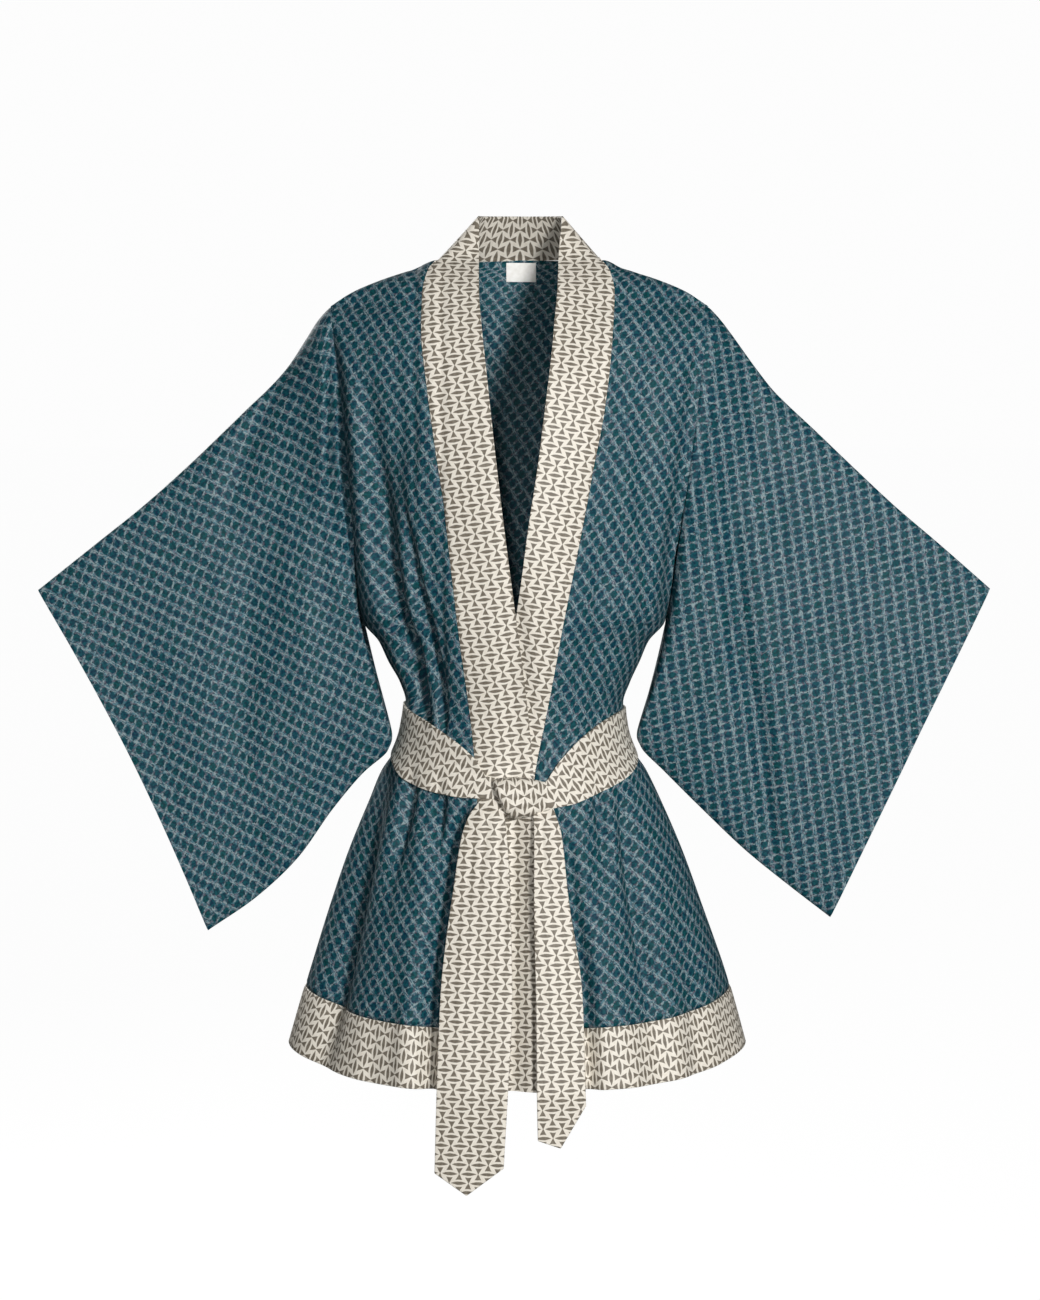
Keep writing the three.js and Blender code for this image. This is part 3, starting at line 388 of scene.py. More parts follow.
body = curves(BODY, "z")
shoulder_height = curve(SHOULDER_LINE, "out", "z")
band_edges = {side: curves(table, "seam_z") for side, table in BAND_EDGES.items()}
neck_fold = curves(NECK_FOLD, "seam_z")
lapping_edge = curve(BAND_EDGES["right"], "fold_z", "fold_x")
belt_front = curves(BELT_FRONT, "angle")
armhole_groove = {side: curves(table, "z") for side, table in ARMHOLE_GROOVE.items()}
deep_folds, deep_sleeve_folds = courses(DEEP_FOLDS), courses(DEEP_SLEEVE_FOLDS)


def fold_depth(folds, x, z):
    """The depth of the folds at a place: each is a soft trough that dies away at its ends."""
    total = np.zeros(np.broadcast(x, z).shape)
    for x0, z0, x1, z1, width, depth in folds:
        run_x, run_z = x1 - x0, z1 - z0
        length = math.hypot(run_x, run_z)
        along = ((x - x0) * run_x + (z - z0) * run_z) / length**2
        away = ((x - x0) * run_z - (z - z0) * run_x) / length / width
        fade = np.sin(math.pi * clamp(along, 0, 1)) ** FOLD_FADE
        total = total + depth * fade * bell(away)
    return total


def deep_fold_depth(folds, x, z):
    """The depth of the deep folds, each of which follows its own course down the cloth."""
    return sum(fold["depth"](z) * bell((x - fold["x"](z)) / fold["width"](z)) for fold in folds)


def armhole_depth(face, z):
    share = (TIP_Z - z) / (TIP_Z - UNDERARM_Z)
    return ARMHOLE_DEPTH[face] * np.sin(math.pi * clamp(share, 0, 1)) ** ARMHOLE_POWER


def groove_depth(side, out, z):
    """How far the cloth sinks in beside an armhole seam, at a distance out of it."""
    groove = armhole_groove[side]
    deep = np.minimum(groove["depth"](z), GROOVE_LIMIT * armhole_depth("front", z))
    return deep * bell((out - groove["out"](z)) / groove["width"](z))


# ---- The body's form

def shoulder_round(face, out, z):
    """How far the cloth has rounded over the shoulder, from 0 on its top to 1."""
    near_neck = smooth((ROUND_FROM - out) / (ROUND_FROM - ROUND_TO))
    drop = clamp((shoulder_height(out) - z) / mix(ROUND_SHOULDER, ROUND_NECK, near_neck), 0, 1)
    arch = np.sqrt(1 - (1 - drop) ** 2)
    if face == "front":
        return arch
    under_nape = clamp(1 - (out / NECK_HALF) ** 2, 0, 1)
    return mix(arch, np.sin(drop * QUARTER), under_nape)


def x_at(angle, z):
    return body["centre"](z) + np.sin(angle) * body["half"](z)


def angle_at(x, z):
    return np.arcsin(clamp((x - body["centre"](z)) / body["half"](z), -1, 1))


def body_form(face, angle, z):
    """A point of the body's cloth before its folds: an angle round it and a height."""
    across = np.abs(np.sin(angle))
    out = across * body["half"](z)
    nape = 0
    if face == "back":
        nape = NAPE * np.sqrt(clamp(1 - (out / NECK_HALF) ** 2, 0, 1))
    full = mix(nape, body[face](z), shoulder_round(face, out, z))
    edge = armhole_depth(face, z)
    closed = np.where(z <= UNDERARM_Z, 1, smooth((UNDERARM_Z + SIDE_CLOSING - z) / SIDE_CLOSING))
    arch = mix(np.cos(across * QUARTER), np.cos(angle), closed)
    depth = edge + (full - edge) * arch
    return places(x_at(angle, z), -depth if face == "front" else depth, z)


def outward(surface, a, b, step_a, step_b, inside):
    """The outward direction of a surface that takes two numbers, away from a point inside it."""
    along_a = surface(a + step_a, b) - surface(a - step_a, b)
    along_b = surface(a, b + step_b) - surface(a, b - step_b)
    normal = unit(np.cross(along_a, along_b))
    facing = np.sum(normal * (surface(a, b) - inside), axis=-1, keepdims=True)
    return np.where(facing < 0, -normal, normal)


def unevenness(x, z, seed):
    """A slight waviness of the hanging cloth, within about a millimetre."""
    slow = np.sin(x / 31 + seed + 0.8 * np.sin(z / 83 + seed)) * np.sin(z / 120 + 2 * seed)
    fine = np.sin(x / 13 + 3 * seed + np.sin(z / 57)) * np.sin(z / 61 + seed)
    return 0.7 * slow + 0.35 * fine


# Normals are taken over a small turn and height, off the side edges, away from a point lower inside.
NORMAL = {"turn": 0.02, "height": 1.5, "off_edge": 0.03, "lower": 60}


def on_body(face, angle, z, lift, fine=1.0):
    """A point on the body's cloth with its folds, lifted off it by some distance."""
    form = partial(body_form, face)
    point = form(angle, z)
    inside = places(body["centre"](z), 0, z - NORMAL["lower"])
    edge = QUARTER - NORMAL["off_edge"]
    normal = outward(form, clamp(angle, -edge, edge), z, NORMAL["turn"], NORMAL["height"], inside)
    x = point[..., 0]
    folds = fold_depth(LARGE_FOLDS[face], x, z)
    folds = folds + fine * fold_depth(FINE_FOLDS[face], x, z)
    folds = folds + fine * unevenness(x, z, WAVE_SEEDS[face])
    deep = fine * deep_fold_depth(deep_folds[face], x, z) * np.minimum(1, SIDE_FADE * np.cos(angle))
    point = point + normal * (lift - folds * np.cos(angle) - deep)[..., None]
    out = np.abs(x - body["centre"](z)) - body["half"](z)
    sunk = np.where(x < 0, groove_depth("right", out, z), groove_depth("left", out, z))
    point[..., 1] += sunk if face == "front" else -GROOVE_BEHIND * sunk
    return point


def across_body(face, x, z, lift, fine=1.0):
    return on_body(face, angle_at(x, z), z, lift, fine)


def lap_under(side, x, z):
    """How far the left front's layers go in, under the lapping edge of the right front."""
    if side == "right":
        return 0
    lower = smooth((LAP["from_z"] - z) / (LAP["from_z"] - LAP["full_z"]))
    return -LAP["depth"] * lower * smooth((lapping_edge(z) + LAP["ease"] - x) / LAP["ease"])


def front_height(row):
    return np.where(row < 1, UNDERARM_Z * row, mix(UNDERARM_Z, HEM_FRONT, row - 1))


def row_height(row, angle, share, out_at_top):
    """The height of a row: 0 is the shoulder, 1 the underarm and 2 the hem."""
    to_side = np.where(row < 1, share, np.abs(np.sin(angle)) ** HEM_CURVE)
    side_z = np.where(row < 1, mix(TIP_Z, UNDERARM_Z, row), mix(UNDERARM_Z, HEM_SIDE, row - 1))
    plain = mix(front_height(row), side_z, to_side)
    over_plain = shoulder_height(out_at_top * TIP_HALF) - mix(0, TIP_Z, share)
    return plain + over_plain * np.maximum(1 - row, 0) ** 2


# Where a point lies on the flat cloth: across from the middle line, and down. The folds take up some
# cloth, and a share of its length goes into the place across.
SECTION_STEPS, PROFILE_TURN, TAKEN_UP = 28, 0.6, 0.6
profile_z = evenly(80, -900, 490)
profile_length = {}
for face in ("front", "back"):
    profile = body_form(face, np.full_like(profile_z, PROFILE_TURN), profile_z)
    profile_length[face] = lengths_along(profile[:, 1:], 0)


def flat_body(face, angle, z, grid, start, direction):
    """The flat places of a grid on the body. Its folds' cloth is counted both ways from a column."""
    shares = np.linspace(0, 1, SECTION_STEPS)
    section = np.stack([body_form(face, angle * share, z) for share in shares])
    extra = lengths_along(grid) - lengths_along(body_form(face, angle, z))
    extra = TAKEN_UP * direction * (extra - extra[:, start:start + 1])
    across = np.sign(angle) * lengths_along(section, 0)[-1] + extra
    return np.stack([across, np.interp(-z, -profile_z, profile_length[face])], axis=-1)


def turned(flat, degrees, pivot):
    """The flat places turned about a pivot. The turn may differ from place to place."""
    turn = np.radians(degrees)
    u, v = flat[..., 0] - pivot[0], flat[..., 1] - pivot[1]
    cos, sin = np.cos(turn), np.sin(turn)
    return np.stack([pivot[0] + cos * u + sin * v, pivot[1] - sin * u + cos * v], axis=-1)


def flat_strip(strip):
    """The flat places of a strip: across from its middle line, and down its length."""
    centre = strip.shape[1] // 2
    middle = strip[:, centre]
    along = unit(np.gradient(middle, axis=0))
    way = strip - middle[:, None]
    ahead = np.sum(way * along[:, None], axis=-1)
    aside = np.sqrt(np.maximum(np.sum(way * way, axis=-1) - ahead**2, 0))
    aside = aside * np.sign(np.arange(strip.shape[1]) - centre)
    return np.stack([aside, lengths_along(middle, 0)[:, None] + ahead], axis=-1)


def flat_hem(grid):
    return flat_strip(grid.swapaxes(0, 1)).swapaxes(0, 1)


# ---- Making sheets of cloth

SEAM_DIP, HEM_DIP, NECK_DIP, SEAM_WIDTH = 1.0, 0.8, 0.7, 2.6
ALL_EDGES = ("first_row", "last_row", "first_column", "last_column")
BODY_MIDDLE = (0, 0, -400)


def sunk_at(grid, inside, edges, depth=SEAM_DIP):
    """The grid with its sewn edges sunk a little towards a point inside the robe."""
    normal = unit(np.cross(np.gradient(grid, axis=0), np.gradient(grid, axis=1)))
    facing = np.sum(normal * (grid - np.asarray(inside, float)), axis=-1)
    normal = -normal if np.mean(facing) < 0 else normal
    down, across = lengths_along(grid, 0), lengths_along(grid, 1)
    away = {
        "first_row": down,
        "last_row": down[-1:] - down,
        "first_column": across,
        "last_column": across[:, -1:] - across,
    }
    sunk = sum(bell(away[edge] / SEAM_WIDTH) for edge in edges)
    return grid - normal * (depth * np.minimum(sunk, 1))[..., None]


def grid_mesh(name, columns, rows, size, height=0.0):
    shape = bmesh.new()
    bmesh.ops.create_grid(shape, x_segments=columns, y_segments=rows, size=size)
    bmesh.ops.translate(shape, verts=shape.verts, vec=(0, 0, height))
    mesh = bpy.data.meshes.new(name)
    shape.to_mesh(mesh)
    shape.free()
    return mesh


def values_of(items, name, size=3, kind=float):
    values = np.empty(size * len(items), kind)
    items.foreach_get(name, values)
    return values.reshape(-1, size)


def placed(name, data):
    made = bpy.data.objects.new(name, data)
    bpy.context.collection.objects.link(made)
    return made


def cloth_sheet(name, nodes, grid, flat, finish, inside, bevel, cut, held, rests_on, area=None):
    """A sheet of cloth through a grid of places, its flat places in the map 'print'.

    It stands for the named nodes. Its cut is its width and length in millimetres.
    """
    rows, columns = grid.shape[:2]
    mesh = grid_mesh(name, columns - 1, rows - 1, 0.5)
    plane = values_of(mesh.vertices, "co")
    column = np.rint((plane[:, 0] + 0.5) * (columns - 1)).astype(int)
    row = np.rint((plane[:, 1] + 0.5) * (rows - 1)).astype(int)
    mesh.vertices.foreach_set("co", (grid[row, column] * METRES).ravel())
    corners = values_of(mesh.loops, "vertex_index", 1, int).ravel()
    layer = mesh.uv_layers.new(name="print")
    layer.data.foreach_set("uv", flat[row, column][corners].ravel())
    mesh.update()
    outwards = values_of(mesh.polygons, "center") - np.asarray(inside, float) * METRES
    if np.mean(np.sum(outwards * values_of(mesh.polygons, "normal"), axis=1)) < 0:
        mesh.flip_normals()
    mesh.shade_smooth()
    mesh.materials.append(finish.material)
    sheet = placed(name, mesh)
    wall = sheet.modifiers.new("wall", "SOLIDIFY")
    wall.thickness = finish.thickness * METRES
    wall.offset = -1
    if bevel:
        rim = sheet.modifiers.new("rim", "BEVEL")
        rim.width = bevel * METRES
        rim.segments = 2
        rim.limit_method = "ANGLE"
        rim.angle_limit = math.radians(50)
    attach(sheet, "root")
    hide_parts(*nodes.split())
    size = (cut[0] * METRES, cut[1] * METRES)
    whole = None if area is None else area * size[0] * size[1]


# ---- Finishes

# The width of a thread in millimetres, and the depth of the weave in metres.
THREAD, WEAVE_DEPTH = 0.8, 0.0004

def paint(red, green, blue):
    """A colour for a socket, from the usual numbers from 0 to 255."""
    parts = [part / 255 for part in (red, green, blue)]
    linear = [p / 12.92 if p <= 0.04045 else ((p + 0.055) / 1.055) ** 2.4 for p in parts]
    return (*linear, 1.0)


class Signal:
    """A value that changes over a surface. Sums on it add the maths nodes that they need."""

    def __init__(self, finish, socket):
        self.finish = finish
        self.socket = socket

    def maths(self, operation, *others):
        return self.finish.add("ShaderNodeMath", {"operation": operation}, dict(enumerate([self, *others])))

    def __add__(self, other):
        return self.maths("ADD", other)

    def __mul__(self, other):
        return self.maths("MULTIPLY", other)

    def __sub__(self, other):
        return self.maths("SUBTRACT", other)

    def __truediv__(self, other):
        return self.maths("DIVIDE", other)

    def __pow__(self, other):
        return self.maths("POWER", other)

    def __rsub__(self, other):
        return self.finish.add("ShaderNodeMath", {"operation": "SUBTRACT"}, {0: other, 1: self})

    def __abs__(self):
        return self.maths("ABSOLUTE")

    def __mod__(self, other):
        return self.maths("FLOORED_MODULO", other)

    __radd__ = __add__
    __rmul__ = __mul__

    def whole(self):
        return self.maths("ROUND")

    def sine(self):
        return self.maths("SINE")

    def most(self, other):
        return self.maths("MAXIMUM", other)

    def between(self, low, high):
        """From 0 at low to 1 at high, softly."""
        ends = {"Value": self, "From Min": low, "From Max": high}
        return self.finish.add("ShaderNodeMapRange", {"interpolation_type": "SMOOTHSTEP"}, ends)


class Finish:
    """A finish for one kind of cloth, with its thickness: its nodes, and the shader that they feed."""

    def __init__(self, slot, thickness, **constants):
        self.slot = slot
        self.thickness = thickness
        self.material = bpy.data.materials.new(slot)
        self.material.use_nodes = True
        self.tree = self.material.node_tree
        self.shader = self.tree.nodes["Principled BSDF"]
        for socket, value in constants.items():
            self.shader.inputs[socket.replace("_", " ")].default_value = value

    def add(self, kind, settings=None, inputs=None, output=0):
        made = self.tree.nodes.new(kind)
        for setting, value in (settings or {}).items():
            setattr(made, setting, value)
        for key, value in (inputs or {}).items():
            if isinstance(value, Signal):
                self.tree.links.new(value.socket, made.inputs[key])
            else:
                made.inputs[key].default_value = value
        return Signal(self, made.outputs[output])

    def feed(self, socket, signal):
        self.tree.links.new(signal.socket, self.shader.inputs[socket])

    def flat_place(self):
        """The place on the flat cloth, in millimetres: across and down."""
        place = self.add("ShaderNodeUVMap", {"uv_map": "print"})
        return [self.add("ShaderNodeSeparateXYZ", inputs={0: place}, output=axis) for axis in (0, 1)]

    def texture(self, kind, x, y, seed, **inputs):
        spot = self.add("ShaderNodeCombineXYZ", inputs={0: x, 1: y, 2: seed})
        return self.add(kind, {"noise_dimensions": "3D"}, {"Vector": spot, **inputs})

    def noise(self, x, y, seed=0.0, detail=2.0):
        """Cloudy noise from about -0.5 to 0.5, whose grain is one unit of x and y."""
        return self.texture("ShaderNodeTexNoise", x, y, seed, Scale=1.0, Detail=detail) - 0.5

    def chance(self, x, y, seed):
        """A number from 0 to 1 for each whole place."""
        return self.texture("ShaderNodeTexWhiteNoise", x, y, seed)

    def blend(self, share, first, second):
        return self.add("ShaderNodeMix", {"data_type": "RGBA"}, {0: share, 6: first, 7: second}, 2)

    def bump(self, height, strength, distance):
        sockets = {"Strength": strength, "Distance": distance, "Height": height}
        self.feed("Normal", self.add("ShaderNodeBump", inputs=sockets))

    def weave(self, u, v, strength):
        """A fine satin weave in the bump: long slubs across and a finer grain."""
        slubs = self.noise(u / (14 * THREAD), v / THREAD, 4.0, 2.0)
        grain = self.noise(u / (1.5 * THREAD), v / (1.5 * THREAD), 9.0, 1.0)
        self.bump(slubs + grain, strength, WEAVE_DEPTH)


def robe_finish():
    """Dark teal ovals in rows, on a mottled ground with a fine pale net of hand-drawn strands."""
    finish = Finish("teal_print", CLOTH, Specular_IOR_Level=0.2)
    u, v = finish.flat_place()
    noise, blend = finish.noise, finish.blend
    # The print is drawn by hand: it wanders slowly and trembles finely.
    x = u + noise(u / 8, v / 8, 1.0) * 2.0 + noise(u / 1.8, v / 1.8, 2.0, 1.0) * 1.8
    y = v + noise(u / 8, v / 8, 5.0) * 2.0 + noise(u / 1.8, v / 1.8, 6.0, 1.0) * 1.8
    # The two steps of the pattern: from oval to oval along a row, and from row to row.
    along_x, along_y = 4.66, 7.18
    next_x, next_y = -8.7, 8.1
    cell = along_x * next_y - next_x * along_y
    step = math.hypot(along_x, along_y)
    row_gap = cell / step
    along = (x * next_y - y * next_x) / cell
    rows = (y * along_x - x * along_y) / cell
    column, row = along.whole(), rows.whole()
    off_along, off_row = along - column, rows - row
    size = finish.chance(column, row, 1.0)
    tint = finish.chance(column, row, 2.0)
    # The oval: pointed at both ends.
    across_x = off_along * along_x + off_row * next_x
    across_y = off_along * along_y + off_row * next_y
    lean = math.radians(123)
    long_way = across_x * math.cos(lean) + across_y * math.sin(lean)
    short_way = across_y * math.cos(lean) - across_x * math.sin(lean)
    half_long, half_short = 4.6, 3.1
    girth = (1 - (long_way / half_long) ** 2) * (half_short * (size * 0.3 + 0.86))
    oval = (girth - abs(short_way)).between(-0.5, 0.6)
    # The strands between two rows of ovals, and the ties between two ovals of a row.
    strand_place = (rows - rows.maths("FLOOR") - 0.5) * row_gap
    in_strands = abs(strand_place).between(3.0, 1.0)
    threads = noise(along * (step / 5), (strand_place + row * 17) / 1.3, 3.0, 1.0)
    threads = threads.between(0.0, 0.12)
    tie_bend = (strand_place * 0.5 + tint * 6.0).sine() * 0.6
    tie = abs((0.5 - abs(off_along)) * step + tie_bend).between(0.9, 0.2)
    faint = noise(x / 3.0, y / 3.0, 17.0, 1.0).between(-0.12, 0.08)
    grain = noise(u / 2.6, v / 2.6, 7.0, 2.0).between(-0.12, 0.12)
    pink = noise(u / 3.2, v / 3.2, 11.0, 1.0).between(0.0, 0.12)
    shade = noise(u / 26, v / 40, 13.0, 3.0)
    dim, pale = paint(2, 39, 52), paint(78, 117, 130)
    mauve, thread = paint(114, 102, 116), paint(152, 170, 172)
    green, blue, bright = paint(0, 54, 60), paint(0, 44, 68), paint(0, 96, 100)
    ground = blend(grain * 0.8 + in_strands * 0.2, dim, pale)
    ground = blend(pink * 0.5, ground, mauve)
    net = (in_strands * threads).most(tie * faint)
    ground = blend(net * 0.75, ground, thread)
    teal = blend(tint, green, blue)
    teal = blend(grain * 0.45, teal, bright)
    finish.feed("Base Color", blend(oval * 0.96, ground, teal))
    finish.feed("Roughness", 0.6 + shade * 0.12 + grain * 0.08)
    finish.weave(u, v, 0.25)
    return finish


def contrast_finish():
    """Taupe lenses and hourglasses by turns on cream, in offset rows."""
    finish = Finish("contrast_print", BAND, Specular_IOR_Level=0.25)
    u, v = finish.flat_place()
    noise, blend = finish.noise, finish.blend
    x = u + noise(u / 6, v / 6, 1.0, 1.0) * 0.9
    y = v + noise(u / 6, v / 6, 5.0, 1.0) * 0.9
    row_gap, motif_gap = 9.2, 9.3
    row = (y / row_gap).whole()
    off_row = abs(y - row * row_gap)
    place = x / motif_gap + row
    motif = place.whole()
    off = abs(place - motif) * motif_gap
    odd = motif % 2
    lens_off = (place * 0.5 - (place * 0.5).whole()) * (2 * motif_gap)
    lens_long, lens_half = 7.6, 1.7
    # Each row's lens, and the ends of the next row's hourglasses, which stop short of it.
    lens_height = (1 - (lens_off / lens_long) ** 2) * lens_half
    lens = (lens_height - off_row).between(-0.25, 0.3)
    waist, flare, gap = 0.2, 0.52, 1.8
    near = (waist + off_row * flare - off).between(-0.25, 0.3) * odd
    far = (waist + (row_gap - off_row) * flare - off).between(-0.25, 0.3)
    far = far * (off_row - lens_height - gap).between(-0.2, 0.35) * (1 - odd)
    mark = lens.most(near.most(far))
    wear = noise(u / 3, v / 3, 7.0, 2.0)
    cream = blend(wear.between(-0.3, 0.3), paint(226, 218, 204), paint(238, 232, 220))
    taupe = blend(wear.between(-0.2, 0.25), paint(108, 100, 88), paint(134, 126, 112))
    finish.feed("Base Color", blend(mark, cream, taupe))
    finish.feed("Roughness", 0.5 + wear * 0.15)
    finish.weave(u, v, 0.22)
    return finish


def label_finish():
    """Matt white woven tape, with its weave in the bump."""
    finish = Finish("label_tape", LABEL["thickness"], Roughness=0.7)
    u, v = finish.flat_place()
    noise, blend = finish.noise, finish.blend
    ribs = (u * 7.0).sine() * (v * 7.0).sine()
    wear = noise(u / 5, v / 5)
    colour = blend(wear.between(-0.3, 0.3), paint(236, 234, 228), paint(250, 249, 246))
    finish.feed("Base Color", colour)
    finish.bump(ribs, 0.3, 0.0002)
    return finish


teal_print = robe_finish()
contrast_print = contrast_finish()
label_tape = label_finish()

# ---- The panels

# Rows of the panels: 0 is the shoulder, 1 the underarm and 2 the hem.
PANEL_ROWS = joined(closer_at_ends(56), evenly(1, 1.36, 44), evenly(1.36, 1 + HEM_SEAM, 52))
HEM_ROWS = evenly(1 + HEM_SEAM, 2, 14)
FRONT_COLUMNS = joined(evenly(0, 0.03, 3), evenly(0.03, 0.97, 104), evenly(0.97, 1, 3))
# Below the belt the left front's print is turned about a point of its flat cloth.
SKIRT_TILT = {"right": 0, "left": -15}
TILT = {"from_z": -450, "over": 60, "x": 60, "z": -480}
NECK_SHARE = NECK_HALF / TIP_HALF


def front_edge_angle(side, row):
    z = front_height(row)
    return angle_at(band_edges[side]["seam_x"](z), z)


def front_places(side, rows, lift):
    """The places of a front's rows, with their angles and heights."""
    row, share = crossed(rows, FRONT_COLUMNS)
    side_angle = SIDES[side] * QUARTER
    angle = mix(front_edge_angle(side, row), side_angle, share)
    at_top = mix(front_edge_angle(side, np.array(0.0)), side_angle, share)
    z = row_height(row, angle, share, np.abs(np.sin(at_top)))
    return on_body("front", angle, z, lift + lap_under(side, x_at(angle, z), z)), angle, z


def back_places(rows, lift):
    """The places of the back's rows, with their angles and heights."""
    neck = np.arcsin(NECK_SHARE * np.sin(evenly(-QUARTER, QUARTER, 64)))
    shoulder = evenly(-QUARTER, -math.asin(NECK_SHARE), 34)
    row, angle = crossed(rows, joined(shoulder, neck, -shoulder[::-1]))
    out = np.abs(np.sin(angle))
    z = row_height(row, angle, out, out)
    return on_body("back", angle, z, lift), angle, z


for side, sign in SIDES.items():
    inside = (20 * sign, 0, -400)
    grid, angle, z = front_places(side, PANEL_ROWS, 0)
    flat = flat_body("front", angle, z, grid, 0, sign)
    pivot = (sign * TILT["x"], np.interp(-TILT["z"], -profile_z, profile_length["front"]))
    flat = turned(flat, SKIRT_TILT[side] * smooth((TILT["from_z"] - z) / TILT["over"]), pivot)
    grid = sunk_at(grid, inside, ALL_EDGES)
    cloth_sheet(f"{side}_front", f"front_{side}", grid, flat, teal_print, inside, 0,
                (260, 760), "draped", "back", 0.7)
    grid = front_places(side, HEM_ROWS, HEM_LIFT)[0]
    flat = flat_hem(grid)
    grid = sunk_at(grid, inside, ["first_row", "last_column"], HEM_DIP)
    cloth_sheet(f"{side}_front_hem", f"hem_band_front_{side}", grid, flat, contrast_print, inside, 0.7,
                (260, 68), "hung", f"front_{side}")

grid, angle, z = back_places(PANEL_ROWS, 0)
flat = flat_body("back", angle, z, grid, grid.shape[1] // 2, 1)
grid = sunk_at(grid, BODY_MIDDLE, ALL_EDGES)
cloth_sheet("back_panel", "back", grid, flat, teal_print, BODY_MIDDLE, 0,
            (560, 760), "draped", "front_right", 0.8)
grid = back_places(HEM_ROWS, HEM_LIFT)[0]
grid = sunk_at(grid, BODY_MIDDLE, ["first_row", "first_column", "last_column"], HEM_DIP)
cloth_sheet("back_hem", "hem_band_back", grid, flat_hem(grid), contrast_print, BODY_MIDDLE, 0.7,
            (560, 68), "hung", "back")


# ---- The sleeves

SLEEVE_DOWN = {"right": -27, "left": 26}
ALONG_SLEEVE = joined(evenly(0, 0.15, 36), evenly(0.15, 1, 88))
ACROSS_SLEEVE = closer_at_ends(84)


def sleeve_surface(side, face, along, across):
    """The places of half a sleeve: along it from the armhole, and across from its top edge."""
    rows = SLEEVES[side][1:]
    stations = evenly(0, 1, len(rows) - 1)
    lines = curves(["along " + SLEEVES[side][0], *[(at, *row) for at, row in zip(stations, rows)]], "along")
    top_x, top_z = lines["top_x"](along), lines["top_z"](along)
    run_x, run_z = lines["bottom_x"](along) - top_x, lines["bottom_z"](along) - top_z
    length = np.hypot(run_x, run_z)
    bow = SIDES[side] * 4 * across * (1 - across) * lines["bow"](along)
    x = top_x + across * run_x + bow * run_z / length
    z = top_z + across * run_z - bow * run_x / length
    arch = np.sin(math.pi * clamp(across, 0, 1))
    full = lines[face](along) * arch ** mix(ARMHOLE_POWER, CUFF_POWER, along)
    easing = smooth(along / SLEEVE_EASING)
    folds = fold_depth(SLEEVE_FOLDS[side], x, z)
    folds = folds + unevenness(x, z, WAVE_SEEDS[f"sleeve_{face}"])
    deep = deep_fold_depth(deep_sleeve_folds[side], x, z) * (1 if face == "front" else DEEP_BEHIND)
    deep = deep * np.sqrt(arch) * easing
    seam_x = mix(rows[0][0], rows[0][2], across)
    armhole_z = mix(TIP_Z, UNDERARM_Z, across)
    groove = groove_depth(side, SIDES[side] * (x - seam_x), armhole_z)
    groove = groove * smooth(GROOVE_START - GROOVE_FADE * along) * (1 if face == "front" else GROOVE_BEHIND)
    depth = full - folds * arch * easing - groove - np.minimum(deep, DEEP_LIMIT * full)
    armhole = body_form(face, np.full_like(armhole_z, SIDES[side] * QUARTER), armhole_z)
    x = x + (armhole[..., 0] - seam_x) * (1 - easing)
    return places(x, -depth if face == "front" else depth, z)


def flat_sleeve(grid, side):
    """Each row of the sleeve rolled out on both sides of its middle, then turned to the grain."""
    middle = grid.shape[1] // 2
    lengths = lengths_along(grid)
    lengths = lengths - lengths[:, middle:middle + 1]
    way = unit(grid[:, -1, ::2] - grid[:, 0, ::2])
    spread = grid[:, middle, None, ::2] + way[:, None, :] * lengths[..., None]
    return turned(spread * np.array([1, -1]), SLEEVE_DOWN[side], (0, 0))


for side, sign in SIDES.items():
    inside = (sign * 270, 0, -360)
    for face in ("front", "back"):
        grid = sleeve_surface(side, face, *crossed(ALONG_SLEEVE, ACROSS_SLEEVE))
        flat = flat_sleeve(grid, side)
        grid = sunk_at(grid, inside, ["first_row"])
        cloth_sheet(f"{side}_sleeve_{face}", f"sleeve_{side}_{face}", grid, flat, teal_print, inside, 0.35,
                    (400, 380), "hung", f"front_{side}", 0.8)


# ---- The neckband

# Stations of the band: -1 is behind the neck, 0 the shoulder and 2 the hem.
NAPE_STEPS = 40
BAND_STATIONS = joined(evenly(-1, 0, NAPE_STEPS), PANEL_ROWS, HEM_ROWS)
BAND_SHARES = joined(evenly(0, 0.08, 4), evenly(0.08, 0.92, 16), evenly(0.92, 1, 4))
# Behind the neck the band leans, and its print is drawn a little larger.
NAPE_PRINT = {"across": 0.76, "along": 0.88, "stations": 0.4}


def nape_turn(side, station):
    """The turn round the neck from the middle of its back, and the angle of that on the body."""
    turn = QUARTER * (1 + np.minimum(station, 0))
    return turn, SIDES[side] * np.arcsin(NECK_SHARE * np.sin(turn))


def band_point(side, station, share):
    """A point of the neckband, from its seam to its folded edge."""
    turn, angle = nape_turn(side, station)
    seam = body_form("back", angle, shoulder_height(NECK_HALF * np.sin(turn)))
    fold_x = NAPE_FOLD["x"] + SIDES[side] * NAPE_FOLD["half"] * np.sin(turn)
    fold = places(fold_x, NAPE_FOLD["y"] + NAPE_FOLD["back"] * np.cos(turn), NAPE_FOLD["z"])
    nape = mix(seam, fold, share[..., None])
    row = np.maximum(station, 0)
    seam_z = front_height(row)
    seam = body_form("front", front_edge_angle(side, row), seam_z)
    fold_x, fold_z = band_edges[side]["fold_x"](seam_z), band_edges[side]["fold_z"](seam_z)
    x, z = mix(seam[..., 0], fold_x, share), mix(seam_z, fold_z, share)
    chest = across_body("front", x, z, lap_under(side, x, z))
    fold = places(fold_x, neck_fold["y"](seam_z), fold_z)
    standing = mix(seam, fold, share[..., None])
    front = mix(standing, chest, neck_fold["on_chest"](seam_z)[..., None])
    return np.where(station[..., None] < 0, nape, front)


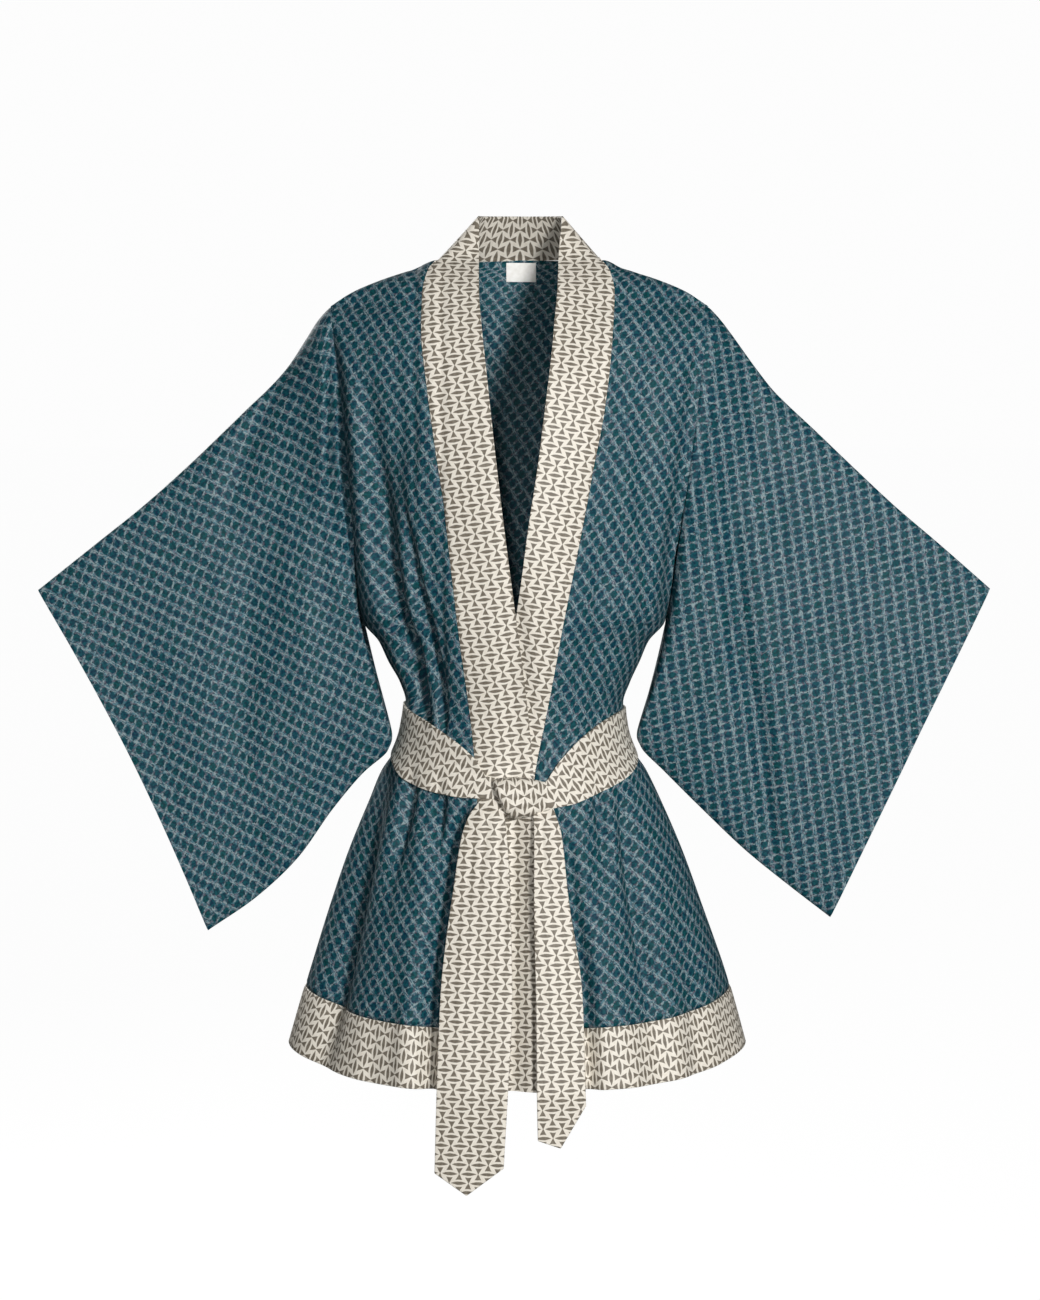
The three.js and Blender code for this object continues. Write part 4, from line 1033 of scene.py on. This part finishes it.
def band_seam(side, station, lift):
    """The seam's own line, which follows the body's cloth with its folds."""
    angle = nape_turn(side, station)[1]
    nape = on_body("back", angle, np.zeros_like(angle), lift)
    row = np.maximum(station, 0)
    z = front_height(row)
    lift = lift + lap_under(side, band_edges[side]["seam_x"](z), z)
    return np.where(station[..., None] < 0, nape, on_body("front", front_edge_angle(side, row), z, lift))


def neckband_places(side, step=0.004):
    station, share = crossed(BAND_STATIONS, BAND_SHARES)
    surface = partial(band_point, side)
    inside = places(0, 20, np.minimum(0, front_height(np.maximum(station, 0))) - NORMAL["lower"])
    down, across = clamp(station, step - 1, 2 - step), clamp(share, step, 1 - step)
    grid = surface(station, share) + outward(surface, down, across, step, step, inside) * BAND_LIFT
    grid[:, 0] = band_seam(side, station[:, 0], BAND_LIFT)
    return grid


for side in SIDES:
    inside = (0, 40, -300)
    grid = neckband_places(side)
    flat = flat_strip(grid)
    flat[..., 0] *= mix(1, NAPE_PRINT["across"], smooth(-BAND_STATIONS / NAPE_PRINT["stations"]))[:, None]
    nape_length = flat[NAPE_STEPS, 0, 1]
    flat[..., 1] -= (1 - NAPE_PRINT["along"]) * np.minimum(flat[..., 1], nape_length)
    grid = sunk_at(grid, inside, ["first_column"], NECK_DIP)
    cloth_sheet(f"{side}_neckband", f"neckband_{side}", grid, flat, contrast_print, inside, 0.8,
                (57, 930), "laid", f"front_{side} back")


# ---- The belt

BELT_SHARES = evenly(0, 1, 22)
# The belt bulges between its edges. It lies on the neckbands in front and on the cloth at the sides.
CROWN = {"power": 2.6, "root": 0.55}
OFF_BANDS = {"from": 25, "over": 30}
BELT_FINE = 0.15


def belt_back_edges(angle):
    side_top = mix(belt_front["top"](-90), belt_front["top"](90), (angle + 90) / 180)
    middle = np.cos(np.radians(angle)) ** 2
    bottom = mix(belt_front["bottom"](-90), BELT_BACK["bottom"], middle)
    return mix(side_top, BELT_BACK["top"], middle), bottom


def belt_places(face, angle, top, bottom, share, forward=0.0):
    z = mix(top, bottom, share)
    turn = np.radians(angle)
    crown = (1 - np.abs(2 * share - 1) ** CROWN["power"]) ** CROWN["root"]
    off_bands = 1 if face == "back" else smooth((np.abs(angle) - OFF_BANDS["from"]) / OFF_BANDS["over"])
    grid = on_body(face, turn, z, mix(TOP_LIFT, BELT_LIFT, off_bands) + forward * crown, BELT_FINE)
    if face == "front":
        grid[..., 1] += fold_depth(BELT_CREASES, x_at(turn, z), z)
    return grid


def sash_sheet(name, nodes, grid, *cut):
    cloth_sheet(name, nodes, grid, flat_strip(grid), contrast_print, BODY_MIDDLE, 0.8, *cut)


angle, share = crossed(evenly(-90, BELT_MEETING, 100), BELT_SHARES)
grid = belt_places("front", angle, belt_front["top"](angle), belt_front["bottom"](angle), share)
sash_sheet("right_belt", "belt_right", grid, (58, 170), "stretched", "front_right", 0.85)

wrapped = curves(WRAPPED_BELT, "station")
station, share = crossed(evenly(0, WRAPPED_BELT[-1][0], 170), BELT_SHARES)
angle = wrapped["angle"](station) + TUCK_SLANT * share * smooth((station - TUCK_FROM) / TUCK_OVER)
top, bottom, forward = (wrapped[name](station) for name in ("top", "bottom", "forward"))
grid = belt_places("front", angle, top, bottom, share, forward)
sash_sheet("left_belt_and_knot", "belt_left belt_knot", grid, (56, 235), "stretched", "front_left", 0.8)

angle, share = crossed(evenly(-90, 90, 110), BELT_SHARES)
grid = belt_places("back", angle, *belt_back_edges(angle), share)
sash_sheet("back_belt", "belt_back", grid, (56, 300), "stretched", "back")

# Near the knot a hanging end rolls out from the belt, and its top is tucked under the knot.
TIE_ROLL = {"under": -2.6, "out": 5.0, "edge": 0.55, "from_z": -545, "to_z": -660}
TIE_CLEAR = {"from_z": -540, "over": 60}


def tie_places(tie, rows=150, columns=24):
    left, right = curve(tie["edges"], "z", "left_x"), curve(tie["edges"], "z", "right_x")
    start = tie["edges"][1][0]
    (_, left_end), (tip, tip_end), (_, right_end) = tie["end"]
    shares = joined(evenly(0, tip, columns // 2), evenly(tip, 1, columns // 2))
    down, across = crossed(evenly(0, 1, rows), shares)
    z = mix(start, np.interp(across, [0, tip, 1], [left_end, tip_end, right_end]), down)
    x = mix(left(z), right(z), across)
    near_knot = smooth((z - TIE_ROLL["to_z"]) / (TIE_ROLL["from_z"] - TIE_ROLL["to_z"]))
    out = TIE_ROLL["out"] * near_knot * mix(TIE_ROLL["edge"], 1, np.sin(math.pi * across))
    tuck = smooth((z - TIE_ROLL["from_z"]) / (start - TIE_ROLL["from_z"]))
    clear = tie["clear"] * smooth((TIE_CLEAR["from_z"] - z) / TIE_CLEAR["over"])
    lift = TOP_LIFT + clear + mix(out, TIE_ROLL["under"], tuck) - fold_depth(tie["creases"], x, z)
    grid = across_body("front", x, np.maximum(z, HEM_FRONT), lift, 0)
    grid[..., 0] = x
    grid[..., 2] = z
    return grid, np.stack([x - (left(z) + right(z)) / 2, -z], axis=-1)


for name, cut in (("long", (66, 388)), ("short", (48, 330))):
    grid, flat = tie_places(TIES[name])
    cloth_sheet(f"{name}_end", f"tie_{name}", grid, flat, contrast_print, BODY_MIDDLE, 0.8,
                cut, "hung", "left_belt_and_knot", 0.95)

# ---- The label

xs = LABEL["x"] + evenly(-LABEL["width"] / 2, LABEL["width"] / 2, 14)
zs = LABEL["top"] - evenly(0, LABEL["height"], 9)
z, x = crossed(zs, xs)
grid = across_body("back", x, z, -CLOTH - LAYER_GAP)
cloth_sheet("label_tape", "label", grid, flat_strip(grid), label_tape, BODY_MIDDLE, 0.2,
            (31, 19), "laid", "back")

# ---- Camera, floor and light

scene = bpy.context.scene
scene.view_settings.view_transform = "Standard"

camera = placed("camera", bpy.data.cameras.new("camera"))
camera.data.lens = 97.45
camera.location = (0.0055, -3.5, -0.02)
camera.rotation_euler = (math.radians(84), 0, 0)
scene.camera = camera

FLOOR_SIZE, FLOOR_Z = 30, -1.6
floor = placed("floor", grid_mesh("floor", 1, 1, FLOOR_SIZE, FLOOR_Z))
WHITE = (1, 1, 1, 1)
GREY = paint(60, 60, 60)
glow = {"Emission_Color": WHITE, "Emission_Strength": 0.97}
floor_finish = Finish("floor_paint", 0, Base_Color=GREY, Roughness=0.9, **glow)
floor.data.materials.append(floor_finish.material)
floor.visible_diffuse = False
floor.visible_glossy = False

# The lamps: name, size in metres, watts and place. All face the middle of the robe.
ROBE_MIDDLE = Vector((0, 0, -0.45))
LAMPS = [
    ("key_light", 0.7, 206, (1.6, -4.7, 0.7)),
    ("front_light", 0.25, 23, (-0.1, -3.3, 0.0)),
    ("back_light", 1.0, 60, (-1.7, 2.4, 0.9)),
]
for name, size, watts, at in LAMPS:
    lamp = bpy.data.lights.new(name, "AREA")
    lamp.shape = "SQUARE"
    lamp.size = size
    lamp.energy = watts
    made = placed(name, lamp)
    made.location = at
    made.visible_camera = False
    made.rotation_euler = (ROBE_MIDDLE - Vector(at)).to_track_quat("-Z", "Y").to_euler()

# The studio's walls give the cloth a low light, and look near white themselves.
WALL_LIGHT, WALL_LOOK = 0.06, 0.98
world = bpy.data.worlds.new("studio")
world.use_nodes = True
scene.world = world
nodes, links = world.node_tree.nodes, world.node_tree.links
walls = nodes["Background"]
seen = nodes.new("ShaderNodeLightPath")
bright = nodes.new("ShaderNodeMapRange")
bright.inputs["To Min"].default_value = WALL_LIGHT
bright.inputs["To Max"].default_value = WALL_LOOK
walls.inputs["Color"].default_value = WHITE
links.new(seen.outputs["Is Camera Ray"], bright.inputs["Value"])
links.new(bright.outputs["Result"], walls.inputs["Strength"])
